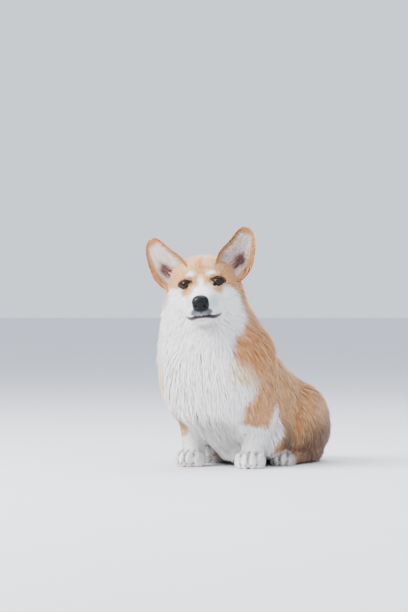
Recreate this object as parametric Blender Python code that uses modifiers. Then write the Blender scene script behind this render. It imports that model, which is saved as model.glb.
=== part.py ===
"""A Pembroke Welsh Corgi sitting on the floor, at life size.

The dog faces -Y with +X on its left and +Z up, and its head is turned to its left.
All sizes are in metres. The body is lofts and ellipsoids fused into one skin. Flat locks
of coat are fused with it where the hair is long, and planes and boxes then part the
whole dog into head, neck, chest and so on.
"""

import math
import random

import bmesh
import bpy
import numpy as np
from mathutils import Matrix, Vector
from mathutils.bvhtree import BVHTree

# Frame: the fused shapes are written about the point between the front feet, and this
# moves them so that the middle of the dog's box stands at the origin.
BOX_SHIFT = (0.0046, -0.0838, 0.0)

GAP = 0.0003
SEED = 7

# Voxel sizes of the fused skin, and the triangles kept in each half of it.
HEAD_VOXEL = 0.0028
BODY_VOXEL = 0.0055
HEAD_TRIANGLES = 1250
WHOLE_TRIANGLES = 1800
FLAT_ANGLE = 0.3

# Head frame: the point between the eyes, and how the head is held.
EYE_LINE = (0.0137, -0.0976, 0.3525)
HEAD_YAW = 27.5
HEAD_ROLL = 6.0
HEAD_PITCH = 0.0

EYE_SPREAD = 0.0295
EYEBALL_RADIUS = 0.0115
EYE_DEPTH = -0.0060
EYE_OPENING = (0.0122, 0.0068)
EYE_TURN = 17.0
LID_THICKNESS = 0.0017

NOSE_HALF = (0.0150, 0.0120, 0.0152)
NOSE_AT = (0.0, 0.0690, -0.0390)
NOSTRIL_AT = (0.0085, 0.0795, -0.0420)
NOSTRIL_HALF = (0.0030, 0.0060, 0.0024)

# Line of the mouth: across, forward and up in the head frame, from a corner to the
# middle; the other half mirrors it.
MOUTH = (
    (0.0345, 0.0140, -0.0565),
    (0.0300, 0.0240, -0.0615),
    (0.0250, 0.0400, -0.0650),
    (0.0200, 0.0540, -0.0655),
    (0.0130, 0.0660, -0.0640),
    (0.0050, 0.0710, -0.0630),
    (0.0000, 0.0715, -0.0632),
)
MOUTH_HALF_GAP = 0.0008
MOUTH_DEPTH = 0.0060

# Rings of the head from the nape to the tip of the muzzle, in the head frame: forward,
# top, bottom, half width and squareness.
HEAD_RINGS = (
    (-0.112, 0.018, -0.052, 0.042, 2.2),
    (-0.095, 0.038, -0.068, 0.058, 2.3),
    (-0.072, 0.050, -0.078, 0.067, 2.4),
    (-0.046, 0.053, -0.082, 0.068, 2.5),
    (-0.028, 0.046, -0.083, 0.062, 2.4),
    (-0.014, 0.033, -0.082, 0.054, 2.2),
    (-0.002, 0.0165, -0.0800, 0.0450, 2.1),
    (0.010, -0.0010, -0.0785, 0.0370, 2.1),
    (0.024, -0.0110, -0.0775, 0.0310, 2.2),
    (0.042, -0.0180, -0.0765, 0.0260, 2.3),
    (0.058, -0.0225, -0.0740, 0.0215, 2.3),
    (0.068, -0.0270, -0.0690, 0.0160, 2.2),
)

# Ears: middle of the root line in the head frame, outward lean, and rows of height
# along the ear, inner edge, outer edge and depth of the cup.
EAR_AT = (0.0587, -0.0400, 0.0293)
EAR_LEAN = 24.8
EAR_BACK_LEAN = 8.0
EAR_FACING = 18.0
EAR_ROWS = (
    (-0.030, -0.0300, 0.0240, 0.0260),
    (-0.014, -0.0330, 0.0320, 0.0265),
    (0.004, -0.0345, 0.0365, 0.0260),
    (0.018, -0.0310, 0.0355, 0.0245),
    (0.032, -0.0245, 0.0325, 0.0205),
    (0.046, -0.0180, 0.0275, 0.0155),
    (0.058, -0.0130, 0.0210, 0.0105),
    (0.067, -0.0080, 0.0135, 0.0060),
    (0.0725, -0.0030, 0.0060, 0.0025),
)
EAR_WALL = 0.0040

# Upright mass of chest and neck: height, middle X and Y, half width, reach to the
# front and reach to the back.
COLUMN = (
    (0.026, 0.000, 0.044, 0.036, 0.028, 0.045),
    (0.046, 0.000, 0.032, 0.052, 0.040, 0.060),
    (0.070, 0.000, 0.016, 0.072, 0.056, 0.078),
    (0.100, -0.002, 0.004, 0.094, 0.076, 0.090),
    (0.135, -0.004, -0.002, 0.110, 0.090, 0.096),
    (0.175, -0.006, -0.004, 0.114, 0.096, 0.094),
    (0.215, -0.008, -0.006, 0.114, 0.096, 0.094),
    (0.248, -0.010, -0.014, 0.107, 0.089, 0.096),
    (0.282, -0.012, -0.028, 0.090, 0.080, 0.088),
    (0.315, -0.012, -0.042, 0.074, 0.068, 0.072),
    (0.348, -0.012, -0.052, 0.052, 0.045, 0.058),
)

# Barrel and rump: distance behind the front feet, height of the belly line and of the
# back line, and half width.
BARREL = (
    (0.000, 0.070, 0.235, 0.070),
    (0.040, 0.056, 0.252, 0.094),
    (0.085, 0.046, 0.236, 0.097),
    (0.130, 0.038, 0.208, 0.092),
    (0.175, 0.026, 0.188, 0.088),
    (0.220, 0.010, 0.172, 0.087),
    (0.255, 0.002, 0.152, 0.080),
    (0.282, 0.001, 0.124, 0.066),
    (0.300, 0.004, 0.090, 0.045),
)

# Forelegs: middle of the foot, then height, outward and rearward set of the middle,
# half width, reach to the front and reach to the back.
FORE_FOOT = {"left": (0.0616, 0.0076), "right": (-0.0616, -0.0076)}
FORE_TOE_OUT = {"left": 24.0, "right": 8.0}
FORELEG = (
    (0.016, 0.000, 0.000, 0.0205, 0.0200, 0.0200),
    (0.040, 0.001, 0.003, 0.0215, 0.0215, 0.0250),
    (0.062, 0.002, 0.006, 0.0245, 0.0245, 0.0440),
    (0.090, 0.004, 0.010, 0.0300, 0.0300, 0.0560),
    (0.125, 0.004, 0.018, 0.0340, 0.0400, 0.0560),
    (0.165, -0.002, 0.022, 0.0340, 0.0460, 0.0520),
    (0.195, -0.010, 0.018, 0.0280, 0.0420, 0.0440),
)

# Feet: width, length and height of a forefoot and a hind foot.
FORE_PAW = (0.060, 0.070, 0.040)
HIND_PAW = (0.052, 0.064, 0.034)
HIND_FOOT = {"left": (0.079, 0.100), "right": (-0.079, 0.100)}
HIND_TOE_OUT = {"left": 12.0, "right": -12.0}
HOCK_BEHIND_PAW = 0.125

# Toes of every paw: across and ahead of its middle, as shares of its width and length,
# and the degrees that a toe one width off the middle would turn out.
TOES = ((-0.345, 0.16), (-0.125, 0.27), (0.125, 0.27), (0.345, 0.16))
TOE_SPREAD = 52.2

# Haunch: middle, half sizes and lean of the thigh's mass.
THIGH_AT = (0.062, 0.192, 0.078)
THIGH_HALF = (0.050, 0.088, 0.080)
THIGH_LEAN = -18.0
KNEE_AT = (0.074, 0.150, 0.066)
KNEE_HALF = (0.030, 0.036, 0.050)

TAIL_AT = (0.0, 0.296, 0.058)
TAIL_LENGTH = 0.036

# Where the skin is parted: a point on each slanting plane and how far its normal leans
# forward from straight up, then the sides of the boxes that take the limbs.
HEAD_PLANE = ((-0.012, -0.050, 0.303), 30.0)
NECK_PLANE = ((0.0, 0.000, 0.232), -14.0)
CHEST_BACK = 0.100
BARREL_BACK = 0.190
FORELEG_BOX = ((0.030, -0.080, -0.010), (0.150, 0.096, 0.112))
FOREPAW_TOP = 0.036
THIGH_BOX = ((0.046, 0.116, -0.010), (0.150, 0.285, 0.158))
TAIL_BOX = ((-0.030, 0.302, 0.014), (0.030, 0.400, 0.084))
HIND_FOOT_BOX = ((0.046, 0.050, -0.010), (0.150, 0.160, 0.034))

# Long coat: how far its core lies under the tips, how far a root is sunk in the core,
# and the thickness of a lock in the middle.
COAT_INSET = 0.009
ROOT_SUNK = 0.006
LOCK_THICKNESS = 0.0030
LOCK_ALONG = (-0.12, 0.18, 0.62, 1.0)
LOCK_LIFT = (-1.0, 0.36, 0.90, 1.0)
LOCK_WIDTH = (0.74, 1.0, 0.76, 0.0)

# Rows of locks on the column: height, middle of the ring's Y, half turn from the front,
# how many, length, width and lift.
NECK_LOCKS = (
    (0.300, -0.020, 180, 10, 0.046, 0.031, 0.0085),
    (0.274, -0.014, 180, 11, 0.052, 0.033, 0.0090),
    (0.250, -0.008, 176, 12, 0.050, 0.034, 0.0090),
)
CHEST_LOCKS = (
    (0.208, 0.000, 100, 10, 0.054, 0.032, 0.0090),
    (0.182, 0.000, 94, 9, 0.054, 0.032, 0.0090),
    (0.156, 0.000, 88, 10, 0.052, 0.031, 0.0090),
    (0.130, 0.000, 66, 7, 0.044, 0.028, 0.0085),
    (0.098, 0.000, 26, 3, 0.038, 0.024, 0.0070),
    (0.072, 0.000, 24, 3, 0.036, 0.022, 0.0060),
)

# Cheek locks: turns below the level of the eyes, then length, width and lift. The lower
# ones grow further forward, under the chin.
CHEEK_TURNS = (4, -12, -28, -44, -58, -70, -84)
CHEEK_LOCK = (0.046, 0.028, 0.0080)
CHEEK_MIDDLE = (0.0, -0.058, -0.036)
CHEEK_FORWARD = 0.050

# Feather behind each foreleg: rearward set from the foot, height and length.
FEATHER = (
    (0.056, 0.104, 0.036),
    (0.036, 0.098, 0.036),
    (0.050, 0.084, 0.034),
    (0.034, 0.076, 0.032),
    (0.044, 0.064, 0.026),
)
FEATHER_LOCK = (0.022, 0.0060)

# Breeches on each side of the rump and on each thigh: across, height and length.
RUMP_BREECH = ((0.014, 0.118, 0.042), (0.034, 0.100, 0.044), (0.016, 0.078, 0.042),
               (0.038, 0.062, 0.044))
THIGH_BREECH = ((0.270, 0.112, 0.042), (0.254, 0.086, 0.040), (0.274, 0.072, 0.040))
BREECH_LOCK = (0.030, 0.0060)

TAIL_LOCKS = 5
TAIL_LOCK = (0.038, 0.020, 0.0050)

# Claws: half thickness, length and how far the root is sunk in the toe.
CLAW_HALF = 0.0024
CLAW_LENGTH = 0.0110
CLAW_SUNK = 0.0060

COLOURS = {
    "tan_coat": ((0.62, 0.36, 0.16), 0.8),
    "white_coat": ((0.86, 0.84, 0.80), 0.8),
    "ear_coat": ((0.66, 0.45, 0.33), 0.8),
    "nose_skin": ((0.012, 0.012, 0.015), 0.35),
    "eye": ((0.035, 0.014, 0.006), 0.05),
    "claw": ((0.05, 0.04, 0.035), 0.4),
}


def clear_scene():
    for thing in list(bpy.data.objects):
        bpy.data.objects.remove(thing)


def material(name):
    made = bpy.data.materials.get(name)
    if made is None:
        colour, roughness = COLOURS[name]
        made = bpy.data.materials.new(name)
        made.use_nodes = True
        shader = made.node_tree.nodes["Principled BSDF"]
        shader.inputs["Base Color"].default_value = (*colour, 1.0)
        shader.inputs["Roughness"].default_value = roughness
    return made


def collection(name, hidden=False):
    found = bpy.data.collections.get(name)
    if found is None:
        found = bpy.data.collections.new(name)
        bpy.context.scene.collection.children.link(found)
        found.hide_render = hidden
    return found


def mesh_object(name, mesh, into="tools"):
    made = bpy.data.objects.new(name, mesh)
    collection(into, into == "tools").objects.link(made)
    return made


def moved(mesh, matrix):
    """Moves a mesh, keeping it right side out where the move mirrors it."""
    mesh.transform(matrix)
    if matrix.determinant() < 0:
        mesh.flip_normals()


def evaluated_mesh(thing):
    bpy.context.view_layer.update()
    graph = bpy.context.evaluated_depsgraph_get()
    return bpy.data.meshes.new_from_object(thing.evaluated_get(graph))


def bake_modifiers(thing):
    mesh = evaluated_mesh(thing)
    thing.modifiers.clear()
    thing.data = mesh
    return thing


def rows_between(rows, steps):
    """Rows on a smooth curve through the given rows, with steps from each to the next."""
    rows = np.array(rows, float)
    padded = np.vstack([2 * rows[0] - rows[1], rows, 2 * rows[-1] - rows[-2]])
    found = []
    for i in range(1, len(padded) - 2):
        a, b, c, d = padded[i - 1 : i + 3]
        for t in np.linspace(0, 1, steps, endpoint=False):
            found.append(
                0.5 * (2 * b + (c - a) * t + (2 * a - 5 * b + 4 * c - d) * t**2
                       + (3 * b - a - 3 * c + d) * t**3)
            )
    found.append(rows[-1])
    return np.array(found)


def loft(name, rings):
    """A closed skin over rings of equal count, with a point in the middle of each end."""
    mesh = bmesh.new()
    levels = [[mesh.verts.new(point) for point in ring] for ring in rings]
    count = len(levels[0])
    for low, high in zip(levels, levels[1:]):
        for i in range(count):
            j = (i + 1) % count
            mesh.faces.new((low[i], low[j], high[j], high[i]))
    for level, turn in ((levels[0], -1), (levels[-1], 1)):
        middle = mesh.verts.new(sum((v.co for v in level), Vector()) / count)
        for i in range(count):
            corner = (level[i], level[(i + 1) % count], middle)
            mesh.faces.new(corner[::turn])
    bmesh.ops.recalc_face_normals(mesh, faces=mesh.faces)
    made = bpy.data.meshes.new(name)
    mesh.to_mesh(made)
    mesh.free()
    return mesh_object(name, made)


def domed(rings):
    """Adds two shrinking rings at each end, so that a loft ends in a dome."""
    rings = [np.array(ring, float) for ring in rings]
    for end, beyond in ((0, 1), (-1, -2)):
        ring = rings[end]
        middle = ring.mean(axis=0)
        reach = np.linalg.norm(ring - middle, axis=1).mean()
        way = middle - rings[beyond].mean(axis=0)
        way = way / np.linalg.norm(way) * reach
        extra = [middle + (ring - middle) * math.cos(t) + way * math.sin(t) * 0.6
                 for t in (math.radians(38), math.radians(68))]
        rings = extra[::-1] + rings if end == 0 else rings + extra
    return rings


def oval(count, wide, front, back, power=2.0):
    """Points (x, y) of an oval whose reach to -y and to +y differ."""
    turns = np.linspace(0, 2 * math.pi, count, endpoint=False)
    c, s = np.cos(turns), np.sin(turns)
    x = wide * np.sign(c) * np.abs(c) ** (2 / power)
    y = np.where(s < 0, front, back) * np.sign(s) * np.abs(s) ** (2 / power)
    return np.column_stack([x, y])


def ellipsoid(name, middle, half, turn=None, segments=24, rings=14):
    mesh = bmesh.new()
    bmesh.ops.create_uvsphere(mesh, u_segments=segments, v_segments=rings, radius=1.0)
    made = bpy.data.meshes.new(name)
    mesh.to_mesh(made)
    mesh.free()
    made.transform(Matrix.Diagonal((*half, 1.0)))
    if turn is not None:
        made.transform(turn)
    made.transform(Matrix.Translation(middle))
    return mesh_object(name, made)


def limb(name, rows, count=20, steps=4):
    """A closed tube through rows of (x, y, z, half width, front reach, back reach)."""
    rows = rows_between(rows, steps)
    rings = []
    for i, (x, y, z, wide, front, back) in enumerate(rows):
        before, after = rows[max(i - 1, 0)][:3], rows[min(i + 1, len(rows) - 1)][:3]
        along = Vector(after - before).normalized()
        side = Vector((1, 0, 0))
        side = (side - along * side.dot(along)).normalized()
        depth = along.cross(side)
        rings.append([Vector((x, y, z)) + side * a + depth * b
                      for a, b in oval(count, wide, front, back)])
    return loft(name, domed(rings))


def joined(name, pieces):
    """Makes the pieces one object, each still a closed body of its own."""
    mesh = bmesh.new()
    for piece in pieces:
        copy = piece.data.copy()
        copy.transform(piece.matrix_world)
        mesh.from_mesh(copy)
        bpy.data.objects.remove(piece)
    made = bpy.data.meshes.new(name)
    mesh.to_mesh(made)
    mesh.free()
    return mesh_object(name, made)


def fused(name, pieces, voxel, smoothing, triangles):
    """One skin round all the pieces, its creases eased, in about that many triangles."""
    made = joined(name, pieces)
    remesh = made.modifiers.new("fuse", "REMESH")
    remesh.mode = "VOXEL"
    remesh.voxel_size = voxel
    smooth = made.modifiers.new("ease", "SMOOTH")
    smooth.factor = 0.5
    smooth.iterations = smoothing
    bake_modifiers(made)
    if triangles:
        share = triangles / (2 * len(made.data.polygons))
        fewer = made.modifiers.new("fewer", "DECIMATE")
        fewer.ratio = min(1.0, share)
        bake_modifiers(made)
    return made


def boolean(thing, other, operation, solver="EXACT"):
    step = thing.modifiers.new(operation.lower(), "BOOLEAN")
    step.operation = operation
    step.object = other
    step.solver = solver
    bake_modifiers(thing)
    return thing


def head_matrix():
    """Head frame (left, forward, up) to the dog's frame."""
    yaw, roll, pitch = (math.radians(v) for v in (HEAD_YAW, HEAD_ROLL, HEAD_PITCH))
    forward = Vector((math.sin(yaw), -math.cos(yaw), 0.0))
    left = Vector((math.cos(yaw), math.sin(yaw), 0.0))
    up = Vector((0.0, 0.0, 1.0))
    frame = Matrix((left, forward, up)).transposed()
    tilt = Matrix.Rotation(-roll, 3, "Y") @ Matrix.Rotation(pitch, 3, "X")
    return Matrix.Translation(EYE_LINE) @ (frame @ tilt).to_4x4()


def head_ball(name, middle, half, turn=None, segments=24, rings=14):
    made = ellipsoid(name, middle, half, turn, segments, rings)
    moved(made.data, head_matrix())
    return made


def head_point(point):
    return head_matrix() @ Vector(point)


def skull_forms():
    """Head and muzzle, jowls, brow, lids and lips, in the head frame."""
    forms = [
        head_ball("jowls", (0, -0.060, -0.040), (0.075, 0.046, 0.062)),
        head_ball("crown", (0, -0.050, 0.018), (0.058, 0.046, 0.036)),
    ]
    for side in (-1, 1):
        forms += [
            head_ball("cheek", (side * 0.021, -0.034, -0.037), (0.047, 0.046, 0.040)),
            head_ball("brow", (side * 0.024, -0.006, 0.0110), (0.016, 0.010, 0.008)),
            head_ball("lid", (side * EYE_SPREAD, EYE_DEPTH, 0.0),
                      (EYEBALL_RADIUS + LID_THICKNESS,) * 3),
            head_ball("lip", (side * 0.0150, 0.036, -0.0520), (0.0150, 0.034, 0.0120)),
            head_ball("pad", (side * 0.0080, 0.060, -0.0520), (0.0115, 0.011, 0.0100)),
        ]
    rings = []
    for forward, top, bottom, wide, power in rows_between(HEAD_RINGS, 3):
        middle, tall = (top + bottom) / 2, (top - bottom) / 2
        rings.append([(a, forward, middle + b) for a, b in oval(36, wide, tall, tall, power)])
    skull = loft("skull", domed(rings))
    moved(skull.data, head_matrix())
    return forms + [skull]


def eye_place(side):
    """Eye frame to the dog's frame: its +Y looks out of the eye."""
    turn = Matrix.Rotation(-side * math.radians(EYE_TURN), 4, "Z")
    return head_matrix() @ Matrix.Translation((side * EYE_SPREAD, EYE_DEPTH, 0.0)) @ turn


def eyeball(name, side, extra=0.0, into="tools"):
    made = ellipsoid(name, (0, 0, 0), (EYEBALL_RADIUS + extra,) * 3, None, 16, 10)
    moved(made.data, eye_place(side))
    collection("tools", True).objects.unlink(made)
    collection(into, into == "tools").objects.link(made)
    return made


def lid_opening(side):
    """A prism of almond section along the eye's own axis, open to the front."""
    half, rise = EYE_OPENING
    ring = []
    for t in np.linspace(-1, 1, 11):
        ring.append((half * t, rise * (1 - abs(t) ** 1.8) + 0.0006))
    for t in np.linspace(1, -1, 11)[1:-1]:
        ring.append((half * t, -0.86 * rise * (1 - abs(t) ** 2.2)))
    rings = [[(x * k, y, z * k) for x, z in ring] for y, k in ((0.003, 0.90), (0.024, 1.18))]
    made = loft("lid_opening", rings)
    moved(made.data, eye_place(side))
    return made


def nose_form(name, extra=0.0, into="tools"):
    """Nose leather: wide and full above, narrower below, flat at the front."""
    wide, long, tall = (v + extra for v in NOSE_HALF)
    rows = []
    for t in np.linspace(-80, 80, 9):
        c, s = math.cos(math.radians(t)), math.sin(math.radians(t))
        rows.append((long * s, c ** 0.8))
    rings = []
    for forward, size in rows:
        ring = oval(16, wide * size, tall * size, tall * size * 0.92, 2.3)
        rings.append([(a * (1 + 0.16 * (b / tall)), forward, b) for a, b in ring])
    made = loft(name, rings)
    made.data.transform(Matrix.Rotation(math.radians(-8), 4, "X"))
    made.data.transform(Matrix.Translation(NOSE_AT))
    moved(made.data, head_matrix())
    collection("tools", True).objects.unlink(made)
    collection(into, into == "tools").objects.link(made)
    return made


def mouth_groove():
    """A thin wedge that follows the line of the mouth and sinks into the muzzle."""
    half = rows_between(MOUTH, 3)
    line = np.vstack([half * (-1, 1, 1), half[::-1][1:]])
    rings = []
    for i, (x, y, z) in enumerate(line):
        before, after = line[max(i - 1, 0)], line[min(i + 1, len(line) - 1)]
        along = np.array([after[0] - before[0], after[1] - before[1]])
        along /= np.linalg.norm(along)
        out = np.array([-along[1], along[0]])
        share = min(i, len(line) - 1 - i) / (len(line) - 1)
        gap = MOUTH_HALF_GAP * min(1.0, 0.35 + 6 * share)
        ring = []
        for reach, high in ((0.009, gap * 2.6), (-MOUTH_DEPTH, gap * 0.4),
                            (-MOUTH_DEPTH, -gap * 0.4), (0.009, -gap * 2.6)):
            ring.append((x + out[0] * reach, y + out[1] * reach, z + high))
        rings.append(ring)
    made = loft("mouth_groove", rings)
    moved(made.data, head_matrix())
    return made


def ear_form(name, side, into="tools"):
    """A thin cupped ear: an open fold, closed by a wall round its rim."""
    rows = rows_between(EAR_ROWS, 1)
    lean, back, face = (math.radians(v) for v in (EAR_LEAN, EAR_BACK_LEAN, EAR_FACING))
    count = 10
    mesh = bmesh.new()
    skins = []
    for wall in (0.0, 1.0):
        grid = []
        for height, inner, outer, cup in rows:
            line = []
            for t in np.linspace(0, 1, count + 1):
                bend = math.sin(math.pi * t) ** 0.8
                across = inner + (outer - inner) * (0.5 - 0.5 * math.cos(math.pi * t))
                depth = -cup * bend + wall * (EAR_WALL * (0.25 + 0.75 * bend))
                line.append(mesh.verts.new((across, depth, height)))
            grid.append(line)
        skins.append(grid)
    for low, high in zip(skins[0], skins[0][1:]):
        for i in range(count):
            mesh.faces.new((low[i], low[i + 1], high[i + 1], high[i]))
    for low, high in zip(skins[1], skins[1][1:]):
        for i in range(count):
            mesh.faces.new((high[i], high[i + 1], low[i + 1], low[i]))
    back_skin, front_skin = skins
    for k in range(len(rows) - 1):
        mesh.faces.new((back_skin[k + 1][0], front_skin[k + 1][0],
                        front_skin[k][0], back_skin[k][0]))
        mesh.faces.new((back_skin[k][-1], front_skin[k][-1],
                        front_skin[k + 1][-1], back_skin[k + 1][-1]))
    for k, turn in ((0, 1), (-1, -1)):
        for i in range(count):
            corner = (back_skin[k][i], front_skin[k][i],
                      front_skin[k][i + 1], back_skin[k][i + 1])
            mesh.faces.new(corner[::turn])
    bmesh.ops.triangulate(mesh, faces=mesh.faces)
    bmesh.ops.recalc_face_normals(mesh, faces=mesh.faces)
    made = bpy.data.meshes.new(name)
    mesh.to_mesh(made)
    mesh.free()
    made.transform(Matrix.Rotation(-face, 4, "Z"))
    made.transform(Matrix.Rotation(back, 4, "X"))
    made.transform(Matrix.Rotation(lean, 4, "Y"))
    made.transform(Matrix.Translation(EAR_AT))
    if side < 0:
        moved(made, Matrix.Diagonal((-1, 1, 1, 1)))
    moved(made, head_matrix())
    return mesh_object(name, made, into)


def column_form():
    rings = []
    for z, x, y, wide, front, back in rows_between(COLUMN, 3):
        inset = COAT_INSET * min(1.0, max(0.0, (z - 0.04) / 0.05))
        ring = oval(36, wide - inset, front - inset, back - 0.6 * inset, 2.2)
        rings.append([(x + a, y + b, z) for a, b in ring])
    return loft("column", domed(rings))


def barrel_form():
    rings = []
    for y, low, high, wide in rows_between(BARREL, 3):
        middle, tall = (low + high) / 2, (high - low) / 2
        rings.append([(a, y, middle + b) for a, b in oval(36, wide, tall, tall, 2.2)])
    return loft("barrel", domed(rings))


def paw_forms(middle, toe_out, size):
    """Pad, knuckles and four toes of a foot whose sole lies on the floor."""
    wide, long, high = size
    turn = Matrix.Rotation(math.radians(toe_out), 4, "Z")
    place = Matrix.Translation((middle[0], middle[1], 0)) @ turn
    forms = [ellipsoid("pad", (0, 0.10 * long, 0.40 * high),
                       (0.42 * wide, 0.42 * long, 0.62 * high))]
    for across, ahead in TOES:
        lean = Matrix.Rotation(math.radians(-TOE_SPREAD * across), 4, "Z")
        forms.append(ellipsoid("toe", (across * wide, -ahead * long, 0.34 * high),
                               (0.150 * wide, 0.26 * long, 0.42 * high), lean))
    for form in forms:
        form.data.transform(place)
    return forms


def foreleg_forms(side):
    sign = 1 if side == "left" else -1
    x, y = FORE_FOOT[side]
    rows = [(x + sign * out, y + rear, z, wide, front, back)
            for z, out, rear, wide, front, back in FORELEG]
    return [limb("foreleg", rows)] + paw_forms((x, y - 0.006), FORE_TOE_OUT[side], FORE_PAW)


def haunch_forms(side):
    sign = 1 if side == "left" else -1
    x, y, z = THIGH_AT
    lean = Matrix.Rotation(math.radians(THIGH_LEAN), 4, "X")
    forms = [ellipsoid("thigh", (sign * x, y, z), THIGH_HALF, lean, 32, 18)]
    kx, ky, kz = KNEE_AT
    forms.append(ellipsoid("knee", (sign * kx, ky, kz), KNEE_HALF))
    fx, fy = HIND_FOOT[side]
    forms += paw_forms((fx, fy), HIND_TOE_OUT[side], HIND_PAW)
    rows = [
        (fx, fy, 0.016, 0.019, 0.015, 0.015),
        (fx + sign * 0.004, fy + 0.060, 0.017, 0.017, 0.0155, 0.0155),
        (fx + sign * 0.002, fy + HOCK_BEHIND_PAW, 0.022, 0.0165, 0.019, 0.019),
    ]
    forms.append(limb("metatarsus", rows))
    return forms


def tail_form():
    x, y, z = TAIL_AT
    rows = [
        (x, y - 0.030, z + 0.014, 0.022, 0.020, 0.020),
        (x, y, z, 0.022, 0.019, 0.019),
        (x, y + 0.5 * TAIL_LENGTH, z - 0.012, 0.019, 0.016, 0.016),
        (x, y + TAIL_LENGTH, z - 0.028, 0.009, 0.008, 0.008),
    ]
    return limb("tail", rows, 16, 3)


def body_forms():
    forms = [column_form(), barrel_form(), tail_form()]
    for side in ("left", "right"):
        forms += foreleg_forms(side) + haunch_forms(side)
    return forms


def lock(core, root, way, length, width, lift, bend):
    """A flat tapered lock that grows out of the core and lies along it.

    Each ring has two thin edges and a low ridge. The path is read on the core's own
    surface, and raised off it by the lift, from the sunk root to the tip.
    """
    point, normal, _, _ = core.find_nearest(root)
    way = (way - normal * way.dot(normal)).normalized()
    side = normal.cross(way)
    rings = []
    for along, high, wide in zip(LOCK_ALONG, LOCK_LIFT, LOCK_WIDTH):
        guess = point + way * (length * along) + side * (bend * length * along * along)
        if along <= 0:
            on, up = guess, normal
        else:
            on, up, _, _ = core.find_nearest(guess)
            up = (up + normal * 0.5).normalized()
        raised = on + up * (high * lift if high > 0 else high * ROOT_SUNK)
        across = up.cross(way).normalized() * (width * wide / 2)
        ridge = up * (LOCK_THICKNESS * (0.35 + 0.65 * wide))
        rings.append((raised - across, raised + ridge, raised + across))
    mesh = bmesh.new()
    levels = [[mesh.verts.new(v) for v in ring] for ring in rings[:-1]]
    tip = mesh.verts.new(rings[-1][1])
    for low, high in zip(levels, levels[1:]):
        for i in range(3):
            j = (i + 1) % 3
            mesh.faces.new((low[i], low[j], high[j], high[i]))
    for i in range(3):
        mesh.faces.new((levels[-1][i], levels[-1][(i + 1) % 3], tip))
    mesh.faces.new(levels[0][::-1])
    bmesh.ops.triangulate(mesh, faces=mesh.faces)
    bmesh.ops.recalc_face_normals(mesh, faces=mesh.faces)
    made = bpy.data.meshes.new("lock")
    mesh.to_mesh(made)
    mesh.free()
    return made


def rows_round(core, rows, draw):
    """Locks in staggered rows round an upright mass, hanging down and a little back."""
    made = []
    for k, (height, middle, half_turn, count, length, width, lift) in enumerate(rows):
        for i in range(count):
            share = (i + 0.5 * (k % 2) + draw.uniform(-0.15, 0.15)) / max(count - 1, 1)
            turn = math.radians(half_turn * (2 * share - 1))
            if abs(turn) > math.radians(half_turn + 8):
                continue
            out = Vector((math.sin(turn), -math.cos(turn), 0))
            start = Vector((0, middle, height + draw.uniform(-0.004, 0.004)))
            hit = core.ray_cast(start + out * 0.3, -out)[0]
            way = Vector((0.10 * out.x, 0.35 * abs(math.sin(turn)), -1.0))
            made.append(lock(core, hit, way, length * draw.uniform(0.88, 1.12),
                             width * draw.uniform(0.9, 1.1), lift, draw.uniform(-0.22, 0.22)))
    return made


def rooted(core, starts, draw):
    """One lock for each (from, towards, way, length, width, lift), where a ray meets the core."""
    made = []
    for start, towards, way, length, width, lift in starts:
        hit = core.ray_cast(start, (towards - start).normalized())[0]
        made.append(lock(core, hit, way, length, width, lift, draw.uniform(-0.2, 0.2)))
    return made


def cheek_starts():
    length, width, lift = CHEEK_LOCK
    starts = []
    for side in (-1, 1):
        for turn in CHEEK_TURNS:
            out = Vector((side * math.cos(math.radians(turn)), 0, math.sin(math.radians(turn))))
            forward = CHEEK_FORWARD * max(0.0, -out.z) ** 3
            middle = Vector(CHEEK_MIDDLE) + Vector((0, forward, 0))
            way = Vector((0.45 * out.x, -0.70, 0.45 * out.z - 0.45))
            towards = head_point(middle)
            starts.append((head_point(middle + out * 0.2), towards,
                           head_matrix().to_3x3() @ way, length, width, lift))
    return starts


def feather_starts(side):
    x, y = FORE_FOOT[side]
    sign = 1 if side == "left" else -1
    width, lift = FEATHER_LOCK
    return [(Vector((x + sign * 0.3, y + rear, z)), Vector((x, y + rear, z)),
             Vector((0, 0.30, -1)), length, width, lift) for rear, z, length in FEATHER]


def rump_starts():
    width, lift = BREECH_LOCK
    return [(Vector((sign * x, 0.6, z)), Vector((sign * x, 0, z)), Vector((0, 0.35, -1)),
             length, width, lift) for x, z, length in RUMP_BREECH for sign in (-1, 1)]


def thigh_starts(side):
    sign = 1 if side == "left" else -1
    width, lift = BREECH_LOCK
    return [(Vector((sign * 0.5, y, z)), Vector((0, y, z)), Vector((0, 0.35, -1)),
             length, width, lift) for y, z, length in THIGH_BREECH]


def tail_starts():
    length, width, lift = TAIL_LOCK
    x, y, z = TAIL_AT
    starts = []
    for i in range(TAIL_LOCKS):
        turn = 2 * math.pi * (i + 0.25) / TAIL_LOCKS
        middle = Vector((x, y + 0.016, z - 0.006))
        out = Vector((math.cos(turn), 0, math.sin(turn)))
        starts.append((middle + out * 0.1, middle, Vector((0, 0.8, -0.5)), length, width, lift))
    return starts


def points_and_faces(thing):
    mesh = thing.data
    return [v.co.copy() for v in mesh.vertices], [tuple(f.vertices) for f in mesh.polygons]


def with_locks(part, locks):
    """Fuses the locks with the part they grow from."""
    if not locks:
        return part
    group = bpy.data.collections.new("locks")
    bpy.context.scene.collection.children.link(group)
    for mesh in locks:
        group.objects.link(bpy.data.objects.new("lock", mesh.copy()))
    step = part.modifiers.new("union", "BOOLEAN")
    step.operation = "UNION"
    step.operand_type = "COLLECTION"
    step.collection = group
    step.solver = "MANIFOLD"
    bake_modifiers(part)
    for thing in list(group.objects):
        bpy.data.objects.remove(thing)
    bpy.data.collections.remove(group)
    return keep_largest(part)


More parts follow.
